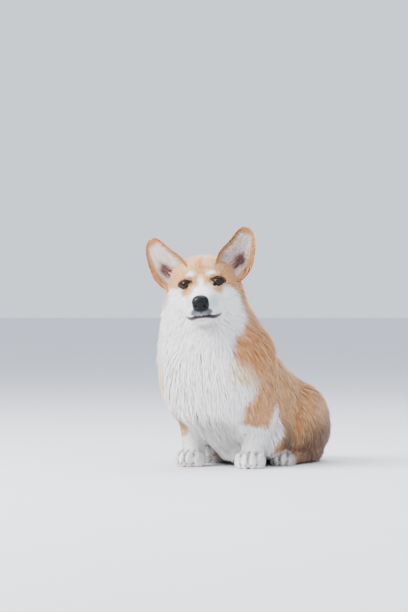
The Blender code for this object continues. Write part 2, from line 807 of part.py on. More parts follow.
def slab(low, high, extra=0.0):
    """A box from its low corner to its high corner, grown by extra on every side."""
    mesh = bmesh.new()
    bmesh.ops.create_cube(mesh, size=1.0)
    made = bpy.data.meshes.new("slab")
    mesh.to_mesh(made)
    mesh.free()
    grow = Vector((extra, extra, extra))
    low, high = Vector(low) - grow, Vector(high) + grow
    made.transform(Matrix.Diagonal((*(high - low), 1.0)))
    made.transform(Matrix.Translation((low + high) / 2))
    return mesh_object("slab", made)


def mirrored_box(box, side):
    (x0, y0, z0), (x1, y1, z1) = box
    if side == "left":
        return box
    return (-x1, y0, z0), (-x0, y1, z1)


def half_space(plane, above, turned=False):
    """A large box on one side of a slanting plane, half a gap away from it."""
    point, lean = plane
    made = slab((-1, -1, GAP / 2), (1, 1, 1)) if above else slab((-1, -1, -1), (1, 1, -GAP / 2))
    made.data.transform(Matrix.Rotation(math.radians(lean), 4, "X"))
    if turned:
        made.data.transform(Matrix.Rotation(math.radians(HEAD_YAW), 4, "Z"))
    made.data.transform(Matrix.Translation(point))
    return made


def copied(name, thing, into="tools"):
    return mesh_object(name, thing.data.copy(), into)


def keep_largest(thing):
    """Keeps the largest closed surface of a part, in triangles."""
    mesh = bmesh.new()
    mesh.from_mesh(thing.data)
    bmesh.ops.remove_doubles(mesh, verts=mesh.verts, dist=0.000001)
    bmesh.ops.dissolve_degenerate(mesh, dist=0.000001, edges=mesh.edges)
    bmesh.ops.dissolve_limit(mesh, angle_limit=math.radians(FLAT_ANGLE), verts=mesh.verts,
                             edges=mesh.edges)
    bmesh.ops.triangulate(mesh, faces=mesh.faces)
    if not all(edge.is_manifold for edge in mesh.edges):
        mesh.free()
        mesh = bmesh.new()
        mesh.from_mesh(thing.data)
    bmesh.ops.triangulate(mesh, faces=mesh.faces)
    seen, groups = set(), []
    for face in mesh.faces:
        if face in seen:
            continue
        group, queue = [], [face]
        seen.add(face)
        while queue:
            one = queue.pop()
            group.append(one)
            for edge in one.edges:
                for other in edge.link_faces:
                    if other not in seen:
                        seen.add(other)
                        queue.append(other)
        groups.append(group)
    groups.sort(key=lambda g: sum(f.calc_area() for f in g), reverse=True)
    spare = [face for group in groups[1:] for face in group]
    bmesh.ops.delete(mesh, geom=spare, context="FACES")
    mesh.to_mesh(thing.data)
    mesh.free()
    return thing


def cut(thing, cutters):
    for cutter in cutters:
        boolean(thing, cutter, "DIFFERENCE", "MANIFOLD")
        bpy.data.objects.remove(cutter)
    return keep_largest(thing)


def swollen(thing):
    """A copy of a part, a gap thicker all round."""
    made = copied("swollen", thing)
    swell = made.modifiers.new("swell", "DISPLACE")
    swell.strength = GAP
    swell.mid_level = 0.0
    return bake_modifiers(made)


def kept_inside(name, source, boxes):
    """A copy of the source within all the boxes, as a part of the dog."""
    made = copied(name, source)
    for box in boxes:
        boolean(made, box, "INTERSECT", "MANIFOLD")
        bpy.data.objects.remove(box)
    return keep_largest(made)


def finished(thing, name, slot):
    """Puts a part in the dog's collection with its material, at its place in the box."""
    if thing.name in collection("tools", True).objects:
        collection("tools", True).objects.unlink(thing)
        collection("corgi").objects.link(thing)
    thing.name = name
    thing.data.name = name
    thing.data.materials.clear()
    thing.data.materials.append(material(slot))
    thing.data.transform(Matrix.Translation(BOX_SHIFT))
    for face in thing.data.polygons:
        face.use_smooth = False
    return thing


def toe_tips(middle, toe_out, size):
    """Where each claw leaves its toe, and the way it points."""
    wide, long, high = size
    place = Matrix.Translation((middle[0], middle[1], 0)) @ Matrix.Rotation(
        math.radians(toe_out), 4, "Z")
    tips = []
    for across, ahead in TOES:
        lean = Matrix.Rotation(math.radians(-TOE_SPREAD * across), 4, "Z")
        at = Vector((across * wide, -ahead * long, 0.0)) + lean @ Vector(
            (0, -0.245 * long, 0.30 * high))
        tips.append((place @ at, (place.to_3x3() @ lean.to_3x3()) @ Vector((0, -1, -0.35))))
    return tips


def claw(name, at, way, extra=0.0):
    """A short curved claw with its root in the toe."""
    way = way.normalized()
    side = way.cross(Vector((0, 0, 1))).normalized()
    rings = []
    for t in np.linspace(0, 1, 4):
        run = -CLAW_SUNK - extra + (CLAW_LENGTH + 2 * extra) * t
        thick = CLAW_HALF * (1 - 0.72 * t ** 1.5) + extra
        point = at + way * run + Vector((0, 0, -0.0022 * t * t))
        up = side.cross(way)
        rings.append([point + side * (thick * 0.8 * math.cos(a)) + up * (thick * math.sin(a))
                      for a in np.linspace(0, 2 * math.pi, 5, endpoint=False)])
    return loft(name, rings)


def with_claws(paw, prefix, middle, toe_out, size):
    tips = toe_tips(middle, toe_out, size)
    claws = []
    for i, (at, way) in enumerate(tips):
        cut(paw, [claw("socket", at, way, GAP)])
        claws.append((claw("claw", at, way), f"claw_{prefix}_{i + 1}"))
    return claws


def head_parts(cheeks):
    """Head, nose, eyes and ears."""
    fine = fused("fine", skull_forms() + [column_form()], HEAD_VOXEL, 7, 0)
    skull = kept_inside("skull", fine, [half_space(HEAD_PLANE, True, True)])
    thinned(skull, HEAD_TRIANGLES)
    with_locks(skull, cheeks)
    head = kept_inside("head", skull, [half_space(HEAD_PLANE, True, True)])
    parts = []
    for side, word in ((1, "left"), (-1, "right")):
        parts.append((cut(ear_form("ear", side), [swollen(head)]), f"ear_{word}", "ear_coat"))
        parts.append((eyeball("eye", side), f"eye_{word}", "eye"))
    for side in (1, -1):
        cut(head, [lid_opening(side), eyeball("ball", side, GAP)])
    cut(head, [nose_form("nose_seat", GAP), mouth_groove()])
    nose = nose_form("nose_leather")
    cut(nose, [head_ball("nostril", (side * NOSTRIL_AT[0], *NOSTRIL_AT[1:]), NOSTRIL_HALF,
                         Matrix.Rotation(side * math.radians(30), 4, "Y"), 10, 6)
               for side in (-1, 1)])
    return [(head, "head", "white_coat"), (nose, "nose", "nose_skin")] + parts


def thinned(thing, triangles):
    fewer = thing.modifiers.new("fewer", "DECIMATE")
    fewer.ratio = min(1.0, triangles / len(thing.data.polygons))
    bake_modifiers(thing)
    return keep_largest(thing)


def taken(name, source, box):
    """The part of the source inside a box; the source keeps what is outside it."""
    part = kept_inside(name, source, [slab(*box, -GAP / 2)])
    cut(source, [slab(*box, GAP / 2)])
    return part


def coat_locks(core):
    """Every lock of the long coat, on the whole dog's core; the cheeks' come first."""
    draw = random.Random(SEED)
    cheeks = rooted(core, cheek_starts(), draw)
    rest = rows_round(core, NECK_LOCKS, draw) + rows_round(core, CHEST_LOCKS, draw)
    for side in ("left", "right"):
        rest += rooted(core, feather_starts(side) + thigh_starts(side), draw)
    rest += rooted(core, rump_starts() + tail_starts(), draw)
    return cheeks, rest


def body_parts(cheeks, locks, whole):
    """Neck, chest, barrel, rump, limbs and feet with their claws, and the tail."""
    body = with_locks(whole, cheeks + locks)
    body = kept_inside("body", body, [half_space(HEAD_PLANE, False, True),
                                      slab((-1, -1, 0), (1, 1, 1))])
    parts = []
    for side in ("left", "right"):
        leg = taken("foreleg", body, mirrored_box(FORELEG_BOX, side))
        paw = taken("forepaw", leg, ((-1, -1, -1), (1, 1, FOREPAW_TOP)))
        x, y = FORE_FOOT[side]
        claws = with_claws(paw, f"fore_{side}", (x, y - 0.006), FORE_TOE_OUT[side], FORE_PAW)
        parts += [(leg, f"foreleg_{side}", "white_coat"), (paw, f"forepaw_{side}", "white_coat")]
        foot = taken("hind_foot", body, mirrored_box(HIND_FOOT_BOX, side))
        thigh = taken("thigh", body, mirrored_box(THIGH_BOX, side))
        claws += with_claws(foot, f"hind_{side}", HIND_FOOT[side], HIND_TOE_OUT[side], HIND_PAW)
        parts += [(thigh, f"thigh_{side}", "tan_coat"),
                  (foot, f"hind_foot_{side}", "white_coat")]
        parts += [(thing, name, "claw") for thing, name in claws]
    tail = taken("tail", body, TAIL_BOX)
    rump = kept_inside("rump", body, [slab((-1, BARREL_BACK + GAP / 2, -1), (1, 1, 1))])
    barrel = kept_inside("barrel", body, [slab((-1, CHEST_BACK + GAP / 2, -1),
                                               (1, BARREL_BACK - GAP / 2, 1))])
    front = kept_inside("front", body, [slab((-1, -1, -1), (1, CHEST_BACK - GAP / 2, 1))])
    neck = kept_inside("neck", front, [half_space(NECK_PLANE, True)])
    chest = kept_inside("chest", front, [half_space(NECK_PLANE, False)])
    return parts + [
        (neck, "neck", "white_coat"),
        (chest, "chest", "white_coat"),
        (barrel, "torso", "tan_coat"),
        (rump, "rump", "tan_coat"),
        (tail, "tail", "tan_coat"),
    ]


def main():
    clear_scene()
    for name in ("tools", "corgi"):
        collection(name, name == "tools")
    whole = fused("whole", body_forms() + skull_forms(), BODY_VOXEL, 4, 0)
    core = BVHTree.FromPolygons(*points_and_faces(whole))
    cheeks, locks = coat_locks(core)
    thinned(whole, WHOLE_TRIANGLES)
    for thing, name, slot in head_parts(cheeks) + body_parts(cheeks, locks, whole):
        finished(thing, name, slot)
    for thing in list(collection("tools", True).objects):
        bpy.data.objects.remove(thing)


if __name__ == "__main__":
    main()
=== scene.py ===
"""Looks of a sitting Pembroke Welsh Corgi: skin, coat, eyes, nose, lips, claws and stage.

The solids' frame is kept. Shapes are written about the point between the front feet, in
metres, and BOX_SHIFT brings them to the frame of the solids. The dog faces -Y, +X is its
left and +Z is up.
"""

import math

import bmesh
import bpy
import numpy as np
from bpy.props import FloatProperty, FloatVectorProperty, IntProperty, PointerProperty
from mathutils import Matrix, Vector
from mathutils.bvhtree import BVHTree
from mathutils.kdtree import KDTree


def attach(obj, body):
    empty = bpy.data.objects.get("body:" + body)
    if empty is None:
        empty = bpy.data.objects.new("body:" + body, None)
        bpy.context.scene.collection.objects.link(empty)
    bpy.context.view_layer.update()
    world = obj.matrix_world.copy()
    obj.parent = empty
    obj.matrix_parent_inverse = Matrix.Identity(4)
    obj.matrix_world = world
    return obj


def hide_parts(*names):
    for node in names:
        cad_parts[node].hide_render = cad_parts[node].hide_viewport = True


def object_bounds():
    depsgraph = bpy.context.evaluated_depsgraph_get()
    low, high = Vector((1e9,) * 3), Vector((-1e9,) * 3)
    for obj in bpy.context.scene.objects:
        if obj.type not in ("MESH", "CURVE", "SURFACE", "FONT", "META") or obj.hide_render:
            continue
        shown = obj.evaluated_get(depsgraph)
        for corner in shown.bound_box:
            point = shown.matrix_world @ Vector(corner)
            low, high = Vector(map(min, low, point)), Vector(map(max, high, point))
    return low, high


bl_info = {
    "name": "Sitting corgi",
    "version": (1, 0, 0),
    "blender": (4, 5, 0),
    "location": "View3D > Sidebar > Corgi",
    "description": "Builds the skin, coat and fine parts of a sitting corgi",
    "category": "Add Mesh",
}

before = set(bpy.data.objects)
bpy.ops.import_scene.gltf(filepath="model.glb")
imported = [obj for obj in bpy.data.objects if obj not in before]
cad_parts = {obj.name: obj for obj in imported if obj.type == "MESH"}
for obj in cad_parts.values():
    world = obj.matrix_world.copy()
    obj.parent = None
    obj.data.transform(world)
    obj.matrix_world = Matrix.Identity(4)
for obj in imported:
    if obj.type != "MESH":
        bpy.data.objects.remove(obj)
CAD_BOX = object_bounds()

BOX_SHIFT = np.array((0.0046, -0.0838, 0.0))
COAT_BEYOND_BOX = 0.0155
SIDES = ((1, "left"), (-1, "right"))
UP = np.array((0.0, 0.0, 1.0))

# Head frame: the point between the eyes, and how the head is held, in degrees.
EYE_LINE = (0.0137, -0.0976, 0.3525)
HEAD_YAW = 27.5
HEAD_ROLL = 6.0

# Rings of the head from the nape to the tip of the muzzle, in the head frame: forward,
# top, bottom, half width and squareness.
HEAD_RINGS = (
    (-0.112, 0.018, -0.052, 0.042, 2.2),
    (-0.095, 0.038, -0.068, 0.058, 2.3),
    (-0.072, 0.050, -0.078, 0.066, 2.6),
    (-0.046, 0.053, -0.082, 0.066, 2.7),
    (-0.028, 0.046, -0.083, 0.058, 2.5),
    (-0.014, 0.033, -0.082, 0.051, 2.1),
    (-0.002, 0.0165, -0.0800, 0.0450, 2.1),
    (0.010, -0.0010, -0.0785, 0.0370, 2.1),
    (0.024, -0.0110, -0.0775, 0.0310, 2.2),
    (0.042, -0.0180, -0.0765, 0.0260, 2.3),
    (0.058, -0.0225, -0.0740, 0.0215, 2.3),
    (0.068, -0.0270, -0.0690, 0.0160, 2.2),
)

# Balls of the head: left, forward and up of the middle, then half sizes; those off the
# middle are made on both sides.
HEAD_BALLS = (
    ((0.0, -0.060, -0.040), (0.075, 0.046, 0.062)),
    ((0.0, -0.050, 0.018), (0.058, 0.046, 0.036)),
    ((0.022, -0.062, 0.020), (0.034, 0.036, 0.0315)),
    ((0.021, -0.034, -0.037), (0.047, 0.046, 0.040)),
    ((0.047, -0.050, -0.022), (0.028, 0.032, 0.042)),
    ((0.024, -0.006, 0.011), (0.016, 0.010, 0.008)),
    ((0.0295, -0.006, 0.0), (0.0132, 0.0132, 0.0132)),
    ((0.015, 0.036, -0.052), (0.015, 0.034, 0.012)),
    ((0.008, 0.060, -0.052), (0.0115, 0.011, 0.010)),
)

EYE_AT = (0.0295, -0.0060, 0.0)
EYE_TURN = 17.0
EYE_RADIUS = 0.0115
EYE_OPENING = (0.0098, 0.0060)
LOWER_LID = 0.86

NOSE_HALF = (0.0158, 0.0122, 0.0188)
NOSE_AT = (0.0, 0.0690, -0.0402)

# Line of the mouth in the head frame, from a corner to the middle.
MOUTH = (
    (0.0345, 0.0140, -0.0600),
    (0.0300, 0.0240, -0.0628),
    (0.0250, 0.0400, -0.0648),
    (0.0200, 0.0540, -0.0655),
    (0.0130, 0.0660, -0.0640),
    (0.0050, 0.0710, -0.0630),
    (0.0000, 0.0715, -0.0632),
)

# Ears: middle of the root line in the head frame, their leans in degrees, the thickness of
# the wall, and rows of height along the ear, inner edge, outer edge and depth of the cup.
EAR_AT = {1: (0.0635, -0.0255, 0.0325), -1: (0.0590, -0.0255, 0.0293)}
EAR_LEAN = 24.8
EAR_BACK_LEAN = 8.0
EAR_FACING = 18.0
EAR_WALL = 0.0034
EAR_ROWS = (
    (-0.030, -0.0300, 0.0240, 0.0200),
    (-0.014, -0.0330, 0.0320, 0.0195),
    (0.004, -0.0340, 0.0360, 0.0185),
    (0.018, -0.0305, 0.0350, 0.0175),
    (0.032, -0.0240, 0.0320, 0.0160),
    (0.046, -0.0185, 0.0280, 0.0135),
    (0.058, -0.0145, 0.0225, 0.0110),
    (0.067, -0.0100, 0.0158, 0.0070),
    (0.0715, -0.0050, 0.0085, 0.0035),
)

# Upright mass of chest and neck: height, middle X and Y, half width, reach to the
# front and reach to the back.
COLUMN = (
    (0.026, 0.000, 0.044, 0.036, 0.028, 0.045),
    (0.046, 0.000, 0.032, 0.052, 0.040, 0.060),
    (0.070, 0.000, 0.016, 0.072, 0.056, 0.078),
    (0.100, -0.002, 0.004, 0.094, 0.076, 0.090),
    (0.135, -0.004, -0.002, 0.110, 0.090, 0.096),
    (0.175, -0.006, -0.004, 0.114, 0.096, 0.094),
    (0.215, -0.008, -0.006, 0.114, 0.096, 0.094),
    (0.248, -0.010, -0.014, 0.107, 0.089, 0.096),
    (0.282, -0.012, -0.028, 0.090, 0.080, 0.088),
    (0.315, -0.012, -0.042, 0.074, 0.068, 0.072),
    (0.348, -0.012, -0.052, 0.052, 0.045, 0.058),
)

# Barrel and rump: distance behind the front feet, height of the back line and of the
# belly line, and half width.
BARREL = (
    (0.000, 0.235, 0.070, 0.070),
    (0.040, 0.252, 0.056, 0.094),
    (0.085, 0.236, 0.046, 0.097),
    (0.130, 0.208, 0.038, 0.092),
    (0.175, 0.188, 0.026, 0.088),
    (0.220, 0.172, 0.010, 0.087),
    (0.255, 0.152, 0.002, 0.080),
    (0.282, 0.124, 0.001, 0.066),
    (0.300, 0.090, 0.004, 0.045),
)

RING_STEPS = 4
BODY_SQUARENESS = 2.2

# Forelegs: middle of the foot, then height, outward and rearward set of the middle,
# half width, reach to the front and reach to the back.
FORE_FOOT = {"left": (0.0616, 0.0076), "right": (-0.0616, -0.0076)}
FORE_TOE_OUT = {"left": 24.0, "right": 8.0}
FORELEG = (
    (0.016, 0.000, 0.000, 0.0205, 0.0200, 0.0200),
    (0.040, 0.001, 0.003, 0.0215, 0.0215, 0.0250),
    (0.062, 0.002, 0.006, 0.0245, 0.0245, 0.0440),
    (0.090, 0.004, 0.010, 0.0300, 0.0300, 0.0560),
    (0.125, 0.004, 0.018, 0.0340, 0.0400, 0.0560),
    (0.165, -0.002, 0.022, 0.0340, 0.0460, 0.0520),
    (0.195, -0.010, 0.018, 0.0280, 0.0420, 0.0440),
)

# Width, length and height of the paws; then the hind foot in rows like the foreleg's.
FORE_PAW = (0.060, 0.070, 0.040)
HIND_PAW = (0.052, 0.064, 0.034)
HIND_FOOT = {"left": (0.079, 0.100), "right": (-0.079, 0.100)}
HIND_TOE_OUT = {"left": 12.0, "right": -12.0}
HOCK = (
    (0.016, 0.000, 0.000, 0.0190, 0.0150, 0.0150),
    (0.017, 0.004, 0.060, 0.0170, 0.0155, 0.0155),
    (0.022, 0.002, 0.125, 0.0165, 0.0190, 0.0190),
)
FOOT_TOP = 0.05
TOES_AHEAD_OF_LEG = 0.006

# Parts of a paw as shares of its width, length and height: the toes' places across and
# ahead, a toe's height and half sizes, the pad's place and half sizes, and the line
# between two toes from its start over its bend to its end, ahead and up.
TOES = ((-0.345, 0.16), (-0.125, 0.27), (0.125, 0.27), (0.345, 0.16))
TOE_SPREAD = 52.2
TOE_HEIGHT = 0.34
TOE_HALF = (0.128, 0.26, 0.43)
PAD_AT = (0.0, 0.10, 0.40)
PAD_HALF = (0.42, 0.42, 0.62)
TOE_GAP = ((-0.06, 0.76), (0.17, 0.50), (0.21, 0.0))
TOE_GAP_FAN = 0.5

THIGH = ((0.062, 0.192, 0.078), (0.050, 0.088, 0.080), -18.0)
KNEE = ((0.074, 0.150, 0.066), (0.030, 0.036, 0.050))
FOLD = ((0.066, 0.088, 0.060), (0.030, 0.052, 0.050))
NAPE = ((-0.020, -0.012, 0.305), (0.066, 0.058, 0.055))

# Tail: its root, then rearward and upward set, half width, front and back reach.
TAIL_AT = (0.0, 0.296, 0.058)
TAIL = (
    (-0.030, 0.014, 0.022, 0.020, 0.020),
    (0.000, 0.000, 0.022, 0.019, 0.019),
    (0.018, -0.012, 0.019, 0.016, 0.016),
    (0.036, -0.028, 0.009, 0.008, 0.008),
)

# The plane at which the fine skin of the head passes into the body's: a point and the
# forward lean of its normal, in degrees.
NECK_PLANE = ((-0.012, -0.050, 0.288), 30.0)
NECK_OVERLAP = 0.008
NECK_NEARNESS = 0.016
HEAD_SINK = 0.0022
BODY_SINK = 0.0010

# The coat, at named places: (left, forward, up) in the head frame or (x, y, z) in the
# dog's, the way the hair lies, its length, the depth of the coat over the skin, the
# width of a tuft and how many thousand tufts stand on a square metre.
HEAD_COAT = (
    ((0.000, 0.048, -0.020), (0.0, -1.0, 0.20), 0.0050, 0.0012, 0.0008, 600),
    ((0.020, 0.045, -0.046), (0.3, -1.0, -0.35), 0.0060, 0.0014, 0.0008, 560),
    ((0.013, 0.064, -0.054), (0.6, -0.6, -0.50), 0.0045, 0.0012, 0.0008, 600),
    ((0.000, 0.055, -0.074), (0.0, -1.0, -0.10), 0.0060, 0.0014, 0.0009, 600),
    ((0.028, 0.020, -0.030), (0.5, -1.0, -0.30), 0.0075, 0.0018, 0.0009, 600),
    ((0.000, 0.010, 0.000), (0.0, -0.5, 1.00), 0.0060, 0.0014, 0.0009, 600),
    ((0.000, -0.014, 0.035), (0.0, -0.4, 1.00), 0.0095, 0.0020, 0.0010, 480),
    ((0.026, 0.000, 0.018), (0.5, -0.4, 0.90), 0.0080, 0.0018, 0.0009, 520),
    ((0.030, -0.030, 0.045), (0.2, -0.9, 0.40), 0.0110, 0.0026, 0.0010, 420),
    ((0.000, -0.060, 0.054), (0.0, -1.0, 0.05), 0.0130, 0.0034, 0.0012, 360),
    ((0.056, -0.016, 0.008), (0.5, -0.8, 0.10), 0.0110, 0.0026, 0.0010, 420),
    ((0.034, 0.006, -0.016), (0.6, -0.7, -0.40), 0.0070, 0.0016, 0.0009, 560),
    ((0.050, -0.014, -0.030), (0.6, -0.8, -0.45), 0.0140, 0.0034, 0.0011, 400),
    ((0.066, -0.040, -0.045), (0.7, -0.6, -0.60), 0.0280, 0.0110, 0.0014, 200),
    ((0.074, -0.058, -0.020), (0.8, -0.6, -0.50), 0.0300, 0.0130, 0.0015, 190),
    ((0.042, -0.010, -0.074), (0.4, -0.6, -0.80), 0.0240, 0.0075, 0.0014, 200),
    ((0.000, 0.015, -0.080), (0.0, -0.9, -0.40), 0.0150, 0.0040, 0.0012, 320),
    ((0.000, -0.110, 0.000), (0.0, -0.7, -0.80), 0.0300, 0.0100, 0.0018, 220),
    ((0.050, -0.085, 0.025), (0.3, -0.7, -0.70), 0.0240, 0.0080, 0.0016, 240),
)
BODY_COAT = (
    ((0.000, -0.105, 0.250), (0.0, 0.05, -1.0), 0.040, 0.0110, 0.0018, 250),
    ((0.000, -0.104, 0.200), (0.0, 0.02, -1.0), 0.038, 0.0110, 0.0018, 250),
    ((0.000, -0.085, 0.135), (0.0, 0.10, -1.0), 0.040, 0.0110, 0.0018, 250),
    ((0.060, -0.085, 0.190), (0.3, 0.10, -1.0), 0.038, 0.0105, 0.0018, 250),
    ((0.000, -0.030, 0.080), (0.0, 0.10, -1.0), 0.036, 0.0090, 0.0016, 200),
    ((0.000, 0.020, 0.032), (0.0, 0.30, -1.0), 0.022, 0.0050, 0.0014, 220),
    ((0.095, -0.030, 0.262), (0.25, 0.45, -1.0), 0.046, 0.0130, 0.0019, 200),
    ((0.108, -0.010, 0.190), (0.10, 0.40, -1.0), 0.036, 0.0100, 0.0018, 190),
    ((0.100, -0.030, 0.140), (0.10, 0.30, -1.0), 0.030, 0.0090, 0.0017, 200),
    ((0.000, 0.070, 0.285), (0.0, 0.70, -1.0), 0.044, 0.0130, 0.0019, 190),
    ((0.000, 0.095, 0.232), (0.0, 1.0, -0.50), 0.036, 0.0100, 0.0018, 180),
    ((0.000, 0.150, 0.200), (0.0, 1.0, -0.40), 0.030, 0.0080, 0.0017, 180),
    ((0.092, 0.110, 0.140), (0.0, 0.55, -0.85), 0.030, 0.0080, 0.0017, 180),
    ((0.000, 0.210, 0.175), (0.0, 1.0, -0.50), 0.028, 0.0080, 0.0017, 180),
    ((0.000, 0.262, 0.150), (0.0, 1.0, -0.90), 0.032, 0.0090, 0.0018, 180),
    ((0.000, 0.300, 0.095), (0.0, 0.35, -1.0), 0.042, 0.0120, 0.0019, 190),
    ((0.060, 0.275, 0.090), (0.1, 0.55, -1.0), 0.038, 0.0100, 0.0018, 190),
    ((0.106, 0.195, 0.085), (0.0, 0.50, -0.85), 0.024, 0.0055, 0.0015, 210),
    ((0.100, 0.130, 0.080), (0.0, 0.25, -1.0), 0.022, 0.0050, 0.0015, 210),
    ((0.100, 0.210, 0.030), (0.1, 0.60, -0.8), 0.022, 0.0050, 0.0015, 210),
    ((0.092, 0.015, 0.125), (0.05, 0.35, -1.0), 0.022, 0.0060, 0.0014, 240),
    ((0.064, -0.022, 0.075), (0.0, 0.10, -1.0), 0.012, 0.0030, 0.0013, 230),
    ((0.064, 0.060, 0.100), (0.2, 0.60, -1.0), 0.034, 0.0090, 0.0016, 200),
    ((0.064, 0.045, 0.058), (0.2, 0.55, -1.0), 0.026, 0.0075, 0.0015, 200),
    ((0.0616, 0.000, 0.036), (0.0, 0.05, -1.0), 0.0085, 0.0020, 0.0013, 190),
    ((0.0616, -0.018, 0.030), (0.0, -0.8, -0.6), 0.0060, 0.0012, 0.0012, 200),
    ((0.0616, -0.036, 0.012), (0.0, -0.5, -1.0), 0.0042, 0.0008, 0.0011, 220),
    ((0.079, 0.080, 0.024), (0.1, -1.0, -0.5), 0.0070, 0.0014, 0.0012, 180),
    ((0.079, 0.060, 0.010), (0.1, -0.8, -0.8), 0.0045, 0.0010, 0.0011, 200),
    ((0.079, 0.150, 0.032), (0.1, -0.6, -0.6), 0.0120, 0.0025, 0.0013, 160),
    ((0.000, 0.120, 0.040), (0.0, 0.50, -1.0), 0.022, 0.0060, 0.0016, 150),
    ((0.000, 0.325, 0.045), (0.0, 1.0, -0.60), 0.030, 0.0080, 0.0016, 220),
)

# Patches of the coat in the order that they lie over each other: frame, side (0 both,
# 1 left, -1 right), middle, half sizes, colour and softness of the edge.
PATCHES = (
    ("body", 0, (0.000, 0.120, 0.240), (0.055, 0.120, 0.050), "rust", 0.95),
    ("body", 0, (0.000, 0.205, 0.150), (0.122, 0.115, 0.085), "rust", 0.70),
    ("body", 0, (0.116, 0.205, 0.100), (0.026, 0.036, 0.050), "fawn", 0.90),
    # Brown low on the haunch: partly the coat's own colour, partly painted shade near the
    # floor.
    ("body", 0, (0.090, 0.220, 0.015), (0.070, 0.130, 0.092), "brown", 0.45),
    # A thin dark line of painted shade for the crease between the side and the thigh.
    ("body", 0, (0.093, 0.130, 0.092), (0.022, 0.009, 0.044), "rust", 0.90),
    ("body", 0, (0.000, 0.318, 0.060), (0.070, 0.050, 0.060), "fawn", 0.60),
    ("body", 0, (0.088, 0.090, 0.045), (0.035, 0.036, 0.060), "brown", 0.80),
    ("body", 0, (-0.030, -0.085, 0.205), (0.093, 0.085, 0.155), "white", 0.12),
    ("body", 1, (0.100, -0.030, 0.235), (0.044, 0.075, 0.072), "rich", 0.30),
    ("body", 1, (0.108, 0.000, 0.160), (0.030, 0.050, 0.060), "tan", 0.60),
    ("body", -1, (0.100, -0.050, 0.165), (0.026, 0.060, 0.052), "cream", 0.60),
    ("body", 1, (0.080, -0.058, 0.170), (0.036, 0.038, 0.036), "cream", 0.80),
    ("body", 1, (0.072, -0.068, 0.143), (0.036, 0.038, 0.030), "white", 0.55),
    ("body", 0, (0.000, -0.020, 0.060), (0.075, 0.090, 0.075), "white", 0.15),
    ("body", 1, (0.094, -0.018, 0.112), (0.030, 0.046, 0.030), "tan", 0.35),
    ("body", 1, (0.068, -0.006, 0.035), (0.050, 0.064, 0.050), "white", 0.15),
    ("body", 1, (0.084, 0.044, 0.080), (0.030, 0.026, 0.044), "white", 0.25),
    ("body", -1, (0.070, 0.000, 0.040), (0.045, 0.066, 0.080), "white", 0.20),
    ("body", -1, (0.076, -0.026, 0.096), (0.026, 0.036, 0.050), "tan", 0.55),
    # Painted shade: white darkened below the bib between the forelegs, under the belly and on
    # the hind feet, where shade falls.
    ("body", 0, (0.000, -0.050, 0.058), (0.066, 0.090, 0.056), "painted_shade_white", 0.35),
    ("body", 0, (0.000, 0.110, 0.015), (0.060, 0.090, 0.040), "painted_shade_white", 0.50),
    ("body", 0, (0.079, 0.084, 0.006), (0.032, 0.044, 0.026), "painted_shade_white", 0.40),
    ("body", 0, (0.078, 0.119, 0.048), (0.010, 0.014, 0.022), "white", 0.60),
    ("head", 0, (0.000, -0.045, 0.030), (0.086, 0.070, 0.056), "tan", 0.12),
    ("head", 0, (0.000, -0.035, 0.042), (0.060, 0.052, 0.034), "fawn", 0.70),
    ("head", 0, (0.000, -0.012, 0.037), (0.0085, 0.030, 0.020), "rich", 0.60),
    ("head", 0, (0.000, 0.050, -0.046), (0.040, 0.054, 0.042), "white", 0.20),
    ("head", 0, (0.088, -0.050, -0.010), (0.026, 0.050, 0.032), "tan", 0.50),
    ("head", 0, (0.042, -0.018, -0.060), (0.034, 0.050, 0.053), "white", 0.15),
    ("head", 0, (0.000, -0.020, -0.095), (0.072, 0.070, 0.045), "white", 0.15),
    ("head", 0, (0.0310, 0.006, -0.014), (0.0125, 0.018, 0.0100), "tan", 0.60),
    ("head", 0, (0.000, 0.008, 0.002), (0.0070, 0.020, 0.018), "white", 0.90),
    ("head", 0, (0.000, 0.026, -0.014), (0.017, 0.020, 0.012), "white", 0.35),
    ("head", 0, (0.0190, -0.004, 0.0195), (0.0098, 0.014, 0.0078), "white", 0.95),
    ("head", 0, (0.0220, -0.002, 0.0140), (0.0052, 0.010, 0.0034), "grey", 0.90),
    # Painted shade on the sides of the muzzle, and on the bridge above the nose a painted
    # blue-grey reflection of the surround.
    ("head", 0, (0.0210, 0.040, -0.040), (0.0130, 0.036, 0.024), "painted_cool_shade", 0.75),
    ("head", 0, (0.000, 0.056, -0.022), (0.015, 0.018, 0.008), "painted_cool_shade", 0.90),
    # The dark grey between the nose and the mouth is partly the lip's dark skin, partly painted
    # shade under the nose.
    ("head", 0, (0.000, 0.066, -0.0550), (0.0225, 0.030, 0.0098), "grey", 0.20),
    # Painted shadow under the chin.
    ("head", 0, (0.000, 0.024, -0.086), (0.034, 0.044, 0.012), "painted_shade_white", 0.80),
)

# What the skin leaves for the coat: its arrays, the trees to search it and the coat's places.
MADE = {}


def palette():
    """The named coat colours that the settings hold."""
    tones = bpy.context.scene.corgi_coat
    return {name: np.array(getattr(tones, name)) for name in
            ("tan", "rich", "rust", "fawn", "brown", "cream", "white", "painted_shade_white", "painted_cool_shade", "grey",
             "ear_hair", "ear_skin_and_shade")}


def smooth_rows(rows, steps):
    """Rows on a Catmull-Rom curve through the given rows, steps from each to the next.

    Between rows b and c, with a before and d after: half of 2b + (c - a)t
    + (2a - 5b + 4c - d)t^2 + (3b - a - 3c + d)t^3.
    """
    rows = np.array(rows, float)
    padded = np.vstack([2 * rows[0] - rows[1], rows, 2 * rows[-1] - rows[-2]])
    a, b, c, d = (padded[i : len(padded) - 3 + i, None] for i in range(4))
    t = np.linspace(0, 1, steps, endpoint=False)[None, :, None]
    curve = 0.5 * (2 * b + (c - a) * t + (2 * a - 5 * b + 4 * c - d) * t**2
                   + (3 * b - a - 3 * c + d) * t**3)
    return np.vstack([curve.reshape(-1, rows.shape[1]), rows[-1]])


